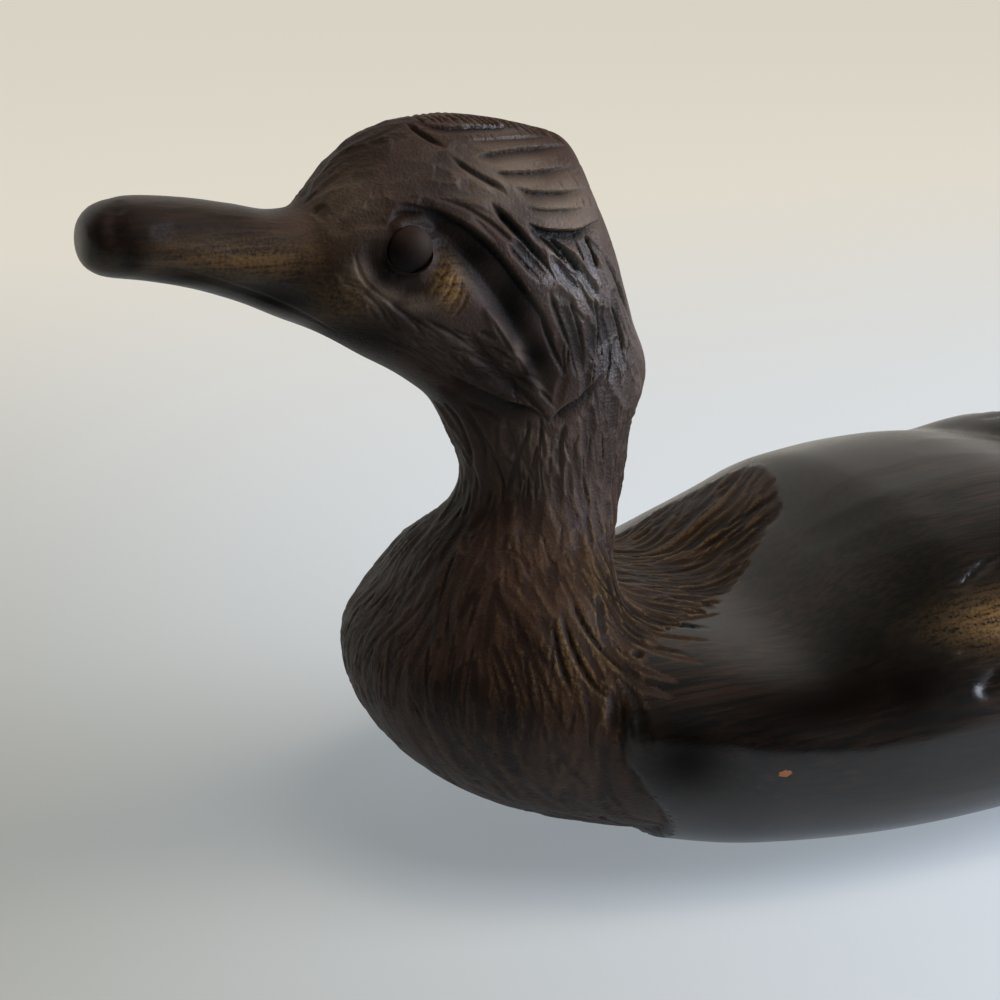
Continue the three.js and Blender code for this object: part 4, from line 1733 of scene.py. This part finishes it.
def add_node(tree: Tree, kind: str, settings: dict[str, Any] | None = None,
             inputs: dict[str | int, Any] | None = None) -> bpy.types.Node:
    """Adds a shader node.

    Args:
        tree: The material's or the world's nodes.
        kind: The node's type, without ShaderNode before it.
        settings: The node's own properties.
        inputs: By socket, a value, or a node or socket to link from.

    Returns:
        The node.
    """
    node = tree.nodes.new(f"ShaderNode{kind}")
    for name, value in (settings or {}).items():
        setattr(node, name, value)
    for name, value in (inputs or {}).items():
        if isinstance(value, bpy.types.Node):
            value = value.outputs[0]
        if isinstance(value, bpy.types.NodeSocket):
            tree.links.new(value, node.inputs[name])
        else:
            node.inputs[name].default_value = value
    return node


def layered(tree: Tree, colour: Any, layers: Iterable[tuple[Any, Any]]) -> Any:
    """Lays colours over one another.

    Args:
        tree: The material's nodes.
        colour: The lowest colour, or the socket that gives it.
        layers: From the bottom up, how thick each colour lies, and the colour.

    Returns:
        The socket that gives the colour on top.
    """
    for share, over in layers:
        mix = add_node(tree, "Mix", {"data_type": "RGBA"}, {
            MIX_SHARE: share, MIX_UNDER: colour, MIX_OVER: over})
        colour = mix.outputs[MIX_RESULT]
    return colour


def new_material(name: str) -> tuple[bpy.types.Material, Tree]:
    """Makes a material with no nodes but its output."""
    material = bpy.data.materials.new(name)
    material.use_nodes = True
    material.node_tree.nodes.clear()
    return material, material.node_tree


def dress(obj: Form, material: bpy.types.Material) -> None:
    """Gives an object one material all over."""
    if not obj.material_slots:
        obj.data.materials.append(material)
    for slot in obj.material_slots:
        slot.material = material


@dataclass(frozen=True)
class StainedBasswood:
    """Basswood, carved, rubbed with a dark stain and sealed with a lacquer, polished only where it is smooth.

    The stain lies thick in the cuts and thin on their ridges, which look a dull pale brown. Painted shade
    darkens the broad hollows and spots under the bill, round the eye and on the flank, and painted highlights
    lighten the cheek's ridge, the lower lid and a patch on the flank. On the polished wood the lacquer gives
    broad soft reflections, and long streaks of grain show through.
    """

    name: str = "stained_basswood"
    # the darkest stain: in the cuts, and as painted shade in the broad hollows and the dark spots
    pooled_stain_and_shade: str = "090605"
    stain: str = "221816"
    thin: str = "43322b"
    olive: str = "3a2b15"
    # pale brown of the dried finish, also used for the painted highlights on the cheek's ridge and lower lid
    dust_and_sheen: str = "74675b"
    ridge: str = "6b573b"
    polished: str = "151513"
    polished_streak: str = "33251d"
    # warm wood where the stain is worn, also used for the flank's painted highlight
    warm: str = "8f7043"
    chip: str = "a8683f"
    grain: Triple = (46, 1.1, 1.1)  # patches along each axis in millimetres, here and in the next three
    blotch: Triple = (46.8, 26, 26)
    pore: Triple = (7, 0.35, 0.35)
    scratch: Triple = (0.7, 0.7, 0.7)
    chip_place: Triple = (-54, -68.5, 33)
    chip_size: Triple = (1.7, 6, 0.9)
    painted_shade_strength: float = 0.95
    carved_roughness: Pair = (0.45, 0.6)
    lacquered_roughness: float = 0.24
    polished_roughness: Pair = (0.2, 0.3)
    gloss: Triple = (0.24, 0.5, 0.06)  # of the carved, the lacquered and the dry wood
    relief: Pair = (0.22, 0.03)  # of the carved and the polished wood, in millimetres

    def material(self) -> bpy.types.Material:
        """Mixes the finish.

        Returns:
            The material.
        """
        material, tree = new_material(self.name)
        place = add_node(tree, "TexCoord").outputs["Object"]
        marks = {
            name: add_node(tree, "Attribute", {"attribute_name": name}).outputs["Fac"]
            for name in ("cut", "ridge", "hollow", "tone", "polish", "warm", "dark", "olive", "dust_and_sheen", "shine")
        }
        polish = marks["polish"]
        grain = self._cloud(tree, place, self.grain, 5)
        blotch = self._cloud(tree, place, self.blotch, 3)
        pores = self._cloud(tree, place, self.pore, 2)
        scratches = self._cloud(tree, place, self.scratch, 4)
        # painted shade: the dark spots, laid in the darkest stain colour
        painted_shade_share = add_node(tree, "Math", {"operation": "MULTIPLY"}, {0: marks["dark"], 1: self.painted_shade_strength})
        colour = layered(tree, self._rough(tree, blotch, scratches, marks), (
            (polish, self._smooth(tree, grain, blotch)),
            # warm worn wood, with the flank's painted highlight
            (self._worn_and_highlit(tree, marks["warm"], grain, scratches), srgb(self.warm)),
            (painted_shade_share, srgb(self.pooled_stain_and_shade)),
            (self._chipped(tree, place, scratches), srgb(self.chip)),
        ))
        texture = add_node(tree, "Mix", inputs={0: polish, 2: scratches, 3: pores})
        depth = add_node(tree, "Mix", inputs={0: polish, 2: self.relief[0] * MM, 3: self.relief[1] * MM})
        bump = add_node(tree, "Bump", inputs={"Height": texture, "Distance": depth, "Strength": 1.0})
        shader = add_node(tree, "BsdfPrincipled", inputs={
            "Base Color": colour, "Roughness": self._roughness(tree, blotch, scratches, marks), "Normal": bump,
            "IOR": 1.5, "Specular IOR Level": self._gloss(tree, painted_shade_share, marks)})
        add_node(tree, "OutputMaterial", inputs={"Surface": shader})
        return material

    def _cloud(self, tree: Tree, place: Any, size: Triple, detail: float) -> bpy.types.NodeSocket:
        """Gives a cloudy pattern whose patches have a size in millimetres along each axis.

        Args:
            tree: The material's nodes.
            place: The point's place.
            size: The patches' size.
            detail: How many finer layers it has.

        Returns:
            The socket that gives it.
        """
        spread = add_node(tree, "VectorMath", {"operation": "MULTIPLY"}, {
            0: place, 1: tuple(1 / (side * MM) for side in size)})
        return add_node(tree, "TexNoise", inputs={
            "Vector": spread, "Scale": 1.0, "Detail": detail, "Roughness": 0.55}).outputs[0]

    def _rough(self, tree: Tree, blotch: Any, scratches: Any, marks: dict[str, Any]) -> Any:
        """Mixes the colour of the wood that the tools have marked, with painted shade in its broad hollows.

        Args:
            tree: The material's nodes.
            blotch: The stain's clouds.
            scratches: The finest pattern.
            marks: What the carving left at each point, by name.

        Returns:
            The socket that gives it.
        """
        toned = add_node(tree, "Math", {"operation": "MULTIPLY_ADD"}, {0: marks["tone"], 1: 0.14, 2: blotch})
        cloudy = add_node(tree, "MapRange", inputs={"Value": toned, "From Min": 0.32, "From Max": 0.7})
        high = add_node(tree, "MapRange", inputs={"Value": marks["ridge"], "From Min": 0.0, "From Max": 0.14})
        patchy = add_node(tree, "MapRange", inputs={"Value": scratches, "From Min": 0.32, "From Max": 0.55})
        rubbed = add_node(tree, "Math", {"operation": "MULTIPLY"}, {0: high, 1: patchy})
        worn = add_node(tree, "Math", {"operation": "MAXIMUM"}, {0: marks["olive"], 1: marks["dust_and_sheen"]})
        worn = add_node(tree, "MapRange", inputs={"Value": worn, "To Min": 0.3})
        rubbed = add_node(tree, "Math", {"operation": "MULTIPLY"}, {0: rubbed, 1: worn})
        low = add_node(tree, "MapRange", inputs={"Value": marks["cut"], "From Min": 0.25, "From Max": 1.3})
        # painted shade: the broad hollows are darker the deeper they lie
        deep = add_node(tree, "MapRange", inputs={
            "Value": marks["hollow"], "From Min": 0.4, "From Max": 2.4, "To Max": 0.7})
        return layered(tree, srgb(self.stain), (
            (cloudy, layered(tree, srgb(self.thin), [(marks["olive"], srgb(self.olive))])),
            (marks["dust_and_sheen"], srgb(self.dust_and_sheen)),
            (rubbed, srgb(self.ridge)),
            (low, srgb(self.pooled_stain_and_shade)),
            (deep, srgb(self.pooled_stain_and_shade)),
        ))

    def _smooth(self, tree: Tree, grain: Any, blotch: Any) -> Any:
        """Mixes the colour of the polished wood.

        Args:
            tree: The material's nodes.
            grain: The wood's streaks.
            blotch: The stain's clouds.

        Returns:
            The socket that gives it.
        """
        streak = add_node(tree, "MapRange", inputs={"Value": grain, "From Min": 0.42, "From Max": 0.62})
        cloudy = add_node(tree, "MapRange", inputs={
            "Value": blotch, "From Min": 0.35, "From Max": 0.65, "To Min": 0.15})
        share = add_node(tree, "Math", {"operation": "MULTIPLY"}, {0: streak, 1: cloudy})
        return layered(tree, srgb(self.polished), [(share, srgb(self.polished_streak))])

    def _worn_and_highlit(self, tree: Tree, warm: Any, grain: Any, scratches: Any) -> bpy.types.Node:
        """Gives how far the warm wood shows where the stain is worn thin, and in the flank's painted
        highlight, in streaks.

        Args:
            tree: The material's nodes.
            warm: The share of the worn places, the flank's painted highlight among them.
            grain: The wood's streaks.
            scratches: The finest pattern.

        Returns:
            The node that gives it.
        """
        uneven = add_node(tree, "Math", {"operation": "ADD"}, {0: grain, 1: scratches})
        streaks = add_node(tree, "MapRange", inputs={"Value": uneven, "From Min": 0.75, "From Max": 1.15})
        return add_node(tree, "Math", {"operation": "MULTIPLY"}, {0: warm, 1: streaks})

    def _chipped(self, tree: Tree, place: Any, scratches: Any) -> bpy.types.Node:
        """Gives where raw wood shows, at one small chip on the bird's left flank.

        Args:
            tree: The material's nodes.
            place: The point's place.
            scratches: The finest pattern.

        Returns:
            The node that gives it.
        """
        away = add_node(tree, "VectorMath", {"operation": "SUBTRACT"}, {
            0: place, 1: tuple(value * MM for value in self.chip_place)})
        scaled = add_node(tree, "VectorMath", {"operation": "MULTIPLY"}, {
            0: away, 1: tuple(1 / (side * MM) for side in self.chip_size)})
        length = add_node(tree, "VectorMath", {"operation": "LENGTH"}, {0: scaled}).outputs["Value"]
        ragged = add_node(tree, "Math", {"operation": "ADD"}, {0: length, 1: scratches})
        return add_node(tree, "MapRange", inputs={"Value": ragged, "From Min": 1.5, "From Max": 1.3})

    def _roughness(self, tree: Tree, blotch: Any, scratches: Any, marks: dict[str, Any]) -> bpy.types.Node:
        """Mixes the roughness of the carved, the lacquered and the polished wood.

        Args:
            tree: The material's nodes.
            blotch: The stain's clouds.
            scratches: The finest pattern.
            marks: What the carving left at each point, by name.

        Returns:
            The node that gives it.
        """
        carved_wood = add_node(tree, "MapRange", inputs={
            "Value": scratches, "From Min": 0.3, "From Max": 0.7, "To Min": self.carved_roughness[0],
            "To Max": self.carved_roughness[1]})
        polished_wood = add_node(tree, "MapRange", inputs={
            "Value": blotch, "From Min": 0.3, "From Max": 0.7, "To Min": self.polished_roughness[0],
            "To Max": self.polished_roughness[1]})
        sealed = add_node(tree, "Mix", inputs={
            0: marks["shine"], 2: carved_wood, 3: self.lacquered_roughness})
        return add_node(tree, "Mix", inputs={0: marks["polish"], 2: sealed, 3: polished_wood})

    def _gloss(self, tree: Tree, painted_shade_share: Any, marks: dict[str, Any]) -> bpy.types.Node:
        """Mixes the gloss, full where the lacquer lies and lowest where the stain has dried and in the painted
        shade.

        Args:
            tree: The material's nodes.
            painted_shade_share: How far the painted shade lies.
            marks: What the carving left at each point, by name.

        Returns:
            The node that gives it.
        """
        carved_gloss, full, dried = self.gloss
        sealed = add_node(tree, "Math", {"operation": "MAXIMUM"}, {0: marks["polish"], 1: marks["shine"]})
        gloss = add_node(tree, "Mix", inputs={0: sealed, 2: carved_gloss, 3: full})
        dry = add_node(tree, "Math", {"operation": "SUBTRACT", "use_clamp": True}, {
            0: marks["olive"], 1: marks["polish"]})
        dry = add_node(tree, "Math", {"operation": "MAXIMUM"}, {0: painted_shade_share, 1: dry})
        return add_node(tree, "Mix", inputs={0: dry, 2: gloss, 3: dried})


@dataclass(frozen=True)
class PlainFinish:
    """What the simpler pieces share: one colour, mottled towards another, with an uneven gloss."""

    name: str
    colour: str
    second: str
    size: Triple  # patches of the mottling along each axis, in millimetres
    roughness: Pair
    metallic: float = 0.0
    relief: float = 0.02  # millimetres

    def material(self) -> bpy.types.Material:
        """Mixes the finish.

        Returns:
            The material.
        """
        material, tree = new_material(self.name)
        place = add_node(tree, "TexCoord").outputs["Object"]
        spread = add_node(tree, "VectorMath", {"operation": "MULTIPLY"}, {
            0: place, 1: tuple(1 / (side * MM) for side in self.size)})
        pattern = add_node(tree, "TexNoise", inputs={"Vector": spread, "Scale": 1.0, "Detail": 4.0})
        share = add_node(tree, "MapRange", inputs={"Value": pattern, "From Min": 0.35, "From Max": 0.65})
        colour = layered(tree, srgb(self.colour), [(share, srgb(self.second))])
        gloss = add_node(tree, "MapRange", inputs={
            "Value": pattern, "From Min": 0.3, "From Max": 0.7, "To Min": self.roughness[0],
            "To Max": self.roughness[1]})
        bump = add_node(tree, "Bump", inputs={"Height": pattern, "Distance": self.relief * MM})
        shader = add_node(tree, "BsdfPrincipled", inputs={
            "Base Color": colour, "Roughness": gloss, "Metallic": self.metallic, "Normal": bump})
        add_node(tree, "OutputMaterial", inputs={"Surface": shader})
        return material


# Birch, turned and left raw: pale, with fine upright grain and no gloss.
BIRCH = PlainFinish("turned_birch", "c99a63", "a8763f", (0.8, 0.8, 18), (0.6, 0.75), relief=0.05)
# Mild steel under bright zinc: grey with a faint blue spangle.
ZINC = PlainFinish("zinc_plated_steel", "b9bcc0", "989a9c", (1.5, 1.5, 1.5), (0.28, 0.42), metallic=1.0)
# Brass, turned and gone slightly brown with handling.
BRASS = PlainFinish("turned_brass", "c59a4b", "9a7434", (0.9, 0.9, 0.3), (0.26, 0.4), metallic=1.0)


@dataclass(frozen=True)
class DarkGlass:
    """Dark brown glass, dulled by the stain rubbed over it, and painted with light and shade: darker at the
    dome's lower front and lighter towards its upper back, as the light falls.
    """

    name: str = "eye_glass"
    # painted shade at the dome's lower front; the next colour is painted light towards its upper back
    thick: str = "110d0c"
    lit_colour: str = "2e231c"
    lit_way: Triple = (0.55, 0, 0.84)
    spread: Pair = (-3.4, 3.2)  # millimetres from the eye's middle along that way
    eye_place: Pair = (-123, 149)
    speck: float = 0.8  # size of the stain's specks, in millimetres
    roughness: Pair = (0.45, 0.58)
    gloss: float = 0.1

    def material(self) -> bpy.types.Material:
        """Mixes the finish.

        Returns:
            The material.
        """
        material, tree = new_material(self.name)
        place = add_node(tree, "TexCoord").outputs["Object"]
        away = add_node(tree, "VectorMath", {"operation": "SUBTRACT"}, {
            0: place, 1: (self.eye_place[0] * MM, 0, self.eye_place[1] * MM)})
        along = add_node(tree, "VectorMath", {"operation": "DOT_PRODUCT"}, {
            0: away, 1: self.lit_way}).outputs["Value"]
        share = add_node(tree, "MapRange", SMOOTH, {
            "Value": along, "From Min": self.spread[0] * MM, "From Max": self.spread[1] * MM})
        specks = add_node(tree, "TexNoise", inputs={
            "Vector": place, "Scale": 1 / (self.speck * MM), "Detail": 3.0})
        dulled = add_node(tree, "MapRange", inputs={
            "Value": specks, "From Min": 0.3, "From Max": 0.7, "To Min": self.roughness[0],
            "To Max": self.roughness[1]})
        colour = layered(tree, srgb(self.thick), [(share, srgb(self.lit_colour))])
        shader = add_node(tree, "BsdfPrincipled", inputs={
            "Base Color": colour, "Roughness": dulled, "IOR": 1.52, "Specular IOR Level": self.gloss})
        add_node(tree, "OutputMaterial", inputs={"Surface": shader})
        return material


@dataclass(frozen=True)
class Lamp:
    """A square soft lamp, with its lengths in metres."""

    name: str
    place: Triple
    size: float
    power: float
    colour: str
    mirrored: bool = False  # whether the wood's gloss shows it

    def hang(self, aim: Triple) -> None:
        """Hangs the lamp so that it faces the place it is aimed at.

        Args:
            aim: The place, in millimetres.
        """
        light = bpy.data.lights.new(self.name, "AREA")
        light.size, light.energy, light.color = self.size, self.power, srgb(self.colour)[:3]
        lamp = bpy.data.objects.new(self.name, light)
        lamp.location = self.place
        lamp.visible_glossy = self.mirrored
        lamp.rotation_euler = (Vector(aim) - Vector(self.place)).to_track_quat("-Z", "Y").to_euler()
        bpy.context.scene.collection.objects.link(lamp)


@dataclass(frozen=True)
class Studio:
    """A pale paper floor in a dim room, with a window at the right, a pale wall behind and a warm bulb above.

    The room is as the bird's gloss shows it: only the wall's foot behind the bird is bright, the ceiling there
    is dim, and the rest is dark. Of the lamps the gloss shows the window alone. Lengths are in metres.
    """

    floor_size: float = 24.0
    # The floor's colours paint light and shade: the near one the window's bluish light, the left one a shadow,
    # the front one a dark that only reflections and the bounce see
    far_colour: str = "ece6d8"
    near_lit_colour: str = "dde8f3"
    left_shadow_colour: str = "aeafa6"
    front_shade_colour: str = "2c2725"
    room_colour: str = "fbf6ee"
    depth: Pair = (-0.05, 0.9)  # where the near colours end and the far one is reached
    side: Pair = (-0.35, 0.05)  # where the painted shadow at the left ends and the near colour is reached
    front: Pair = (-0.16, -0.42)  # where the floor darkens to its painted front shade, for all but the camera
    glow: Pair = (0.4, 0.78)  # share of the floor's colour seen as written, near and far
    way_behind: Triple = (0.2, 0.98, 0.0)  # from the bird to the wall
    ceiling_turn: Pair = (0.2, 0.8)  # how far towards that way the ceiling goes from dark to dim
    wall_turn: Pair = (0.0, 0.4)  # how far towards that way the wall begins
    wall_top: Pair = (0.06, 0.14)  # rise over which the wall gives way to the ceiling
    wall: float = 0.75
    ceiling: float = 0.5
    dark: float = 0.05
    aim: Triple = (-0.06, 0, 0.09)
    lamps: Sequence[Lamp] = (
        Lamp("window", (1.25, -0.7, 0.45), 0.9, 20.0, "e8eeff", mirrored=True),
        Lamp("bulb", (0.31, -0.22, 1.26), 0.32, 2.4, "ffdcae"),
        Lamp("fill", (0.45, -0.45, 1.3), 1.2, 13.0, "fffaf2"),
    )

    def build(self) -> None:
        """Lays the floor and hangs the lights."""
        self._floor()
        self._world()
        for lamp in self.lamps:
            lamp.hang(self.aim)

    def _floor(self) -> None:
        """Makes the floor, with painted light and shade in its colours: a shadow at the left, the window's
        bluish light near the bird, and a dark in front of the bird that every ray but the camera's sees, so
        that only the camera sees the floor pale there.
        """
        half = self.floor_size / 2 / MM
        corners = np.array([(-half, -half, 0), (half, -half, 0), (half, half, 0), (-half, half, 0)])
        floor = new_object("floor", corners, [(0, 1, 2, 3)])
        material, tree = new_material("paper")
        place = add_node(tree, "TexCoord").outputs["Object"]
        parts = add_node(tree, "SeparateXYZ", inputs={0: place}).outputs
        depth, side, before = (
            add_node(tree, "MapRange", SMOOTH, {
                "Value": parts[axis], "From Min": reach[0], "From Max": reach[1]})
            for axis, reach in (("Y", self.depth), ("X", self.side), ("Y", self.front))
        )
        path = add_node(tree, "LightPath").outputs
        unseen = add_node(tree, "Math", {"operation": "SUBTRACT"}, {0: 1.0, 1: path["Is Camera Ray"]})
        before = add_node(tree, "Math", {"operation": "MULTIPLY"}, {0: before, 1: unseen})
        colour = layered(tree, srgb(self.left_shadow_colour), (
            (side, srgb(self.near_lit_colour)), (depth, srgb(self.far_colour)), (before, srgb(self.front_shade_colour))))
        paper = add_node(tree, "BsdfPrincipled", inputs={
            "Base Color": colour, "Roughness": 0.9, "Specular IOR Level": 0.1})
        # camera rays and reflections see the floor partly glowing in its painted light and shade
        bright = add_node(tree, "Emission", inputs={"Color": colour, "Strength": 1.0})
        seen = add_node(tree, "Math", {"operation": "MAXIMUM"}, {
            0: path["Is Camera Ray"], 1: path["Is Glossy Ray"]})
        seen = add_node(tree, "Math", {"operation": "MAXIMUM"}, {0: seen, 1: path["Is Transmission Ray"]})
        glow = add_node(tree, "Mix", inputs={0: depth, 2: self.glow[0], 3: self.glow[1]})
        share = add_node(tree, "Math", {"operation": "MULTIPLY"}, {0: seen, 1: glow})
        mixed = add_node(tree, "MixShader", inputs={0: share, 1: paper, 2: bright})
        add_node(tree, "OutputMaterial", inputs={"Surface": mixed})
        dress(floor, material)

    def _world(self) -> None:
        """Lights the room: a bright wall's foot and a dim ceiling behind the bird, and dark elsewhere."""
        world = bpy.data.worlds.new("room")
        bpy.context.scene.world = world
        world.use_nodes = True
        tree = world.node_tree
        tree.nodes.clear()
        way = add_node(tree, "TexCoord").outputs["Generated"]
        away = add_node(tree, "VectorMath", {"operation": "DOT_PRODUCT"}, {
            0: way, 1: self.way_behind}).outputs["Value"]
        rise = add_node(tree, "SeparateXYZ", inputs={0: way}).outputs["Z"]
        ceiling = add_node(tree, "MapRange", SMOOTH, {
            "Value": away, "From Min": self.ceiling_turn[0], "From Max": self.ceiling_turn[1],
            "To Min": self.dark, "To Max": self.ceiling})
        behind = add_node(tree, "MapRange", SMOOTH, {
            "Value": away, "From Min": self.wall_turn[0], "From Max": self.wall_turn[1]})
        low = add_node(tree, "MapRange", SMOOTH, {
            "Value": rise, "From Min": self.wall_top[1], "From Max": self.wall_top[0]})
        share = add_node(tree, "Math", {"operation": "MULTIPLY"}, {0: behind, 1: low})
        strength = add_node(tree, "Mix", inputs={0: share, 2: ceiling, 3: self.wall})
        glow = add_node(tree, "Background", inputs={"Color": srgb(self.room_colour), "Strength": strength})
        add_node(tree, "OutputWorld", inputs={"Surface": glow})


@dataclass(frozen=True)
class Decoy:
    """The whole bird: its two blocks of wood, its eyes, and the fittings that it hides."""

    pattern: Pattern = Pattern()

    def build(self, nodes: dict[str, Form]) -> None:
        """Makes the carved pieces and dresses every piece.

        Args:
            nodes: The CAD nodes by name.
        """
        wood = StainedBasswood().material()
        whole = WholeForm(self.pattern)
        body, head = WoodBlocks(self.pattern, whole, Holes(self.pattern.fit)).build()
        for obj, node in ((body, "body_block"), (head, "head_block")):
            self._add(obj, node, wood)
        glass = DarkGlass().material()
        for name, side in EYES:
            self._add(GlassEye(name, side).build(), name, glass)
        finishes = {"stained_wood": wood, "bare_wood": BIRCH.material(), "steel": ZINC.material(),
                    "brass": BRASS.material()}
        fittings = {"bottom_board": "stained_wood", "screw_plug": "stained_wood", "neck_dowel": "bare_wood",
                    "neck_screw": "steel", "neck_washer": "steel"}
        fittings |= {f"{name}_wire": "steel" for name, _ in EYES}
        fittings |= {name: "brass" for name in nodes if name.startswith("board_screw")}
        for name, slot in fittings.items():
            dress(nodes[name], finishes[slot])
            log.info("%s: dressed as %s", name, slot)

    def _add(self, obj: Form, node: str, material: bpy.types.Material) -> None:
        """Puts a finished piece in the place of its CAD node.

        Args:
            obj: The piece.
            node: The CAD node's name.
            material: Its finish.
        """
        dress(obj, material)
        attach(obj, "root")
        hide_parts(node)
        log.info("%s stands for %s", obj.name, node)


def main() -> None:
    """Builds the scene."""
    logging.basicConfig(level=logging.INFO, format="%(name)s: %(message)s")
    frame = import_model()
    bpy.context.scene.view_settings.view_transform = "Standard"
    CAMERA.build()
    Studio().build()
    Decoy().build(frame["nodes"])


if __name__ == "__main__":
    main()
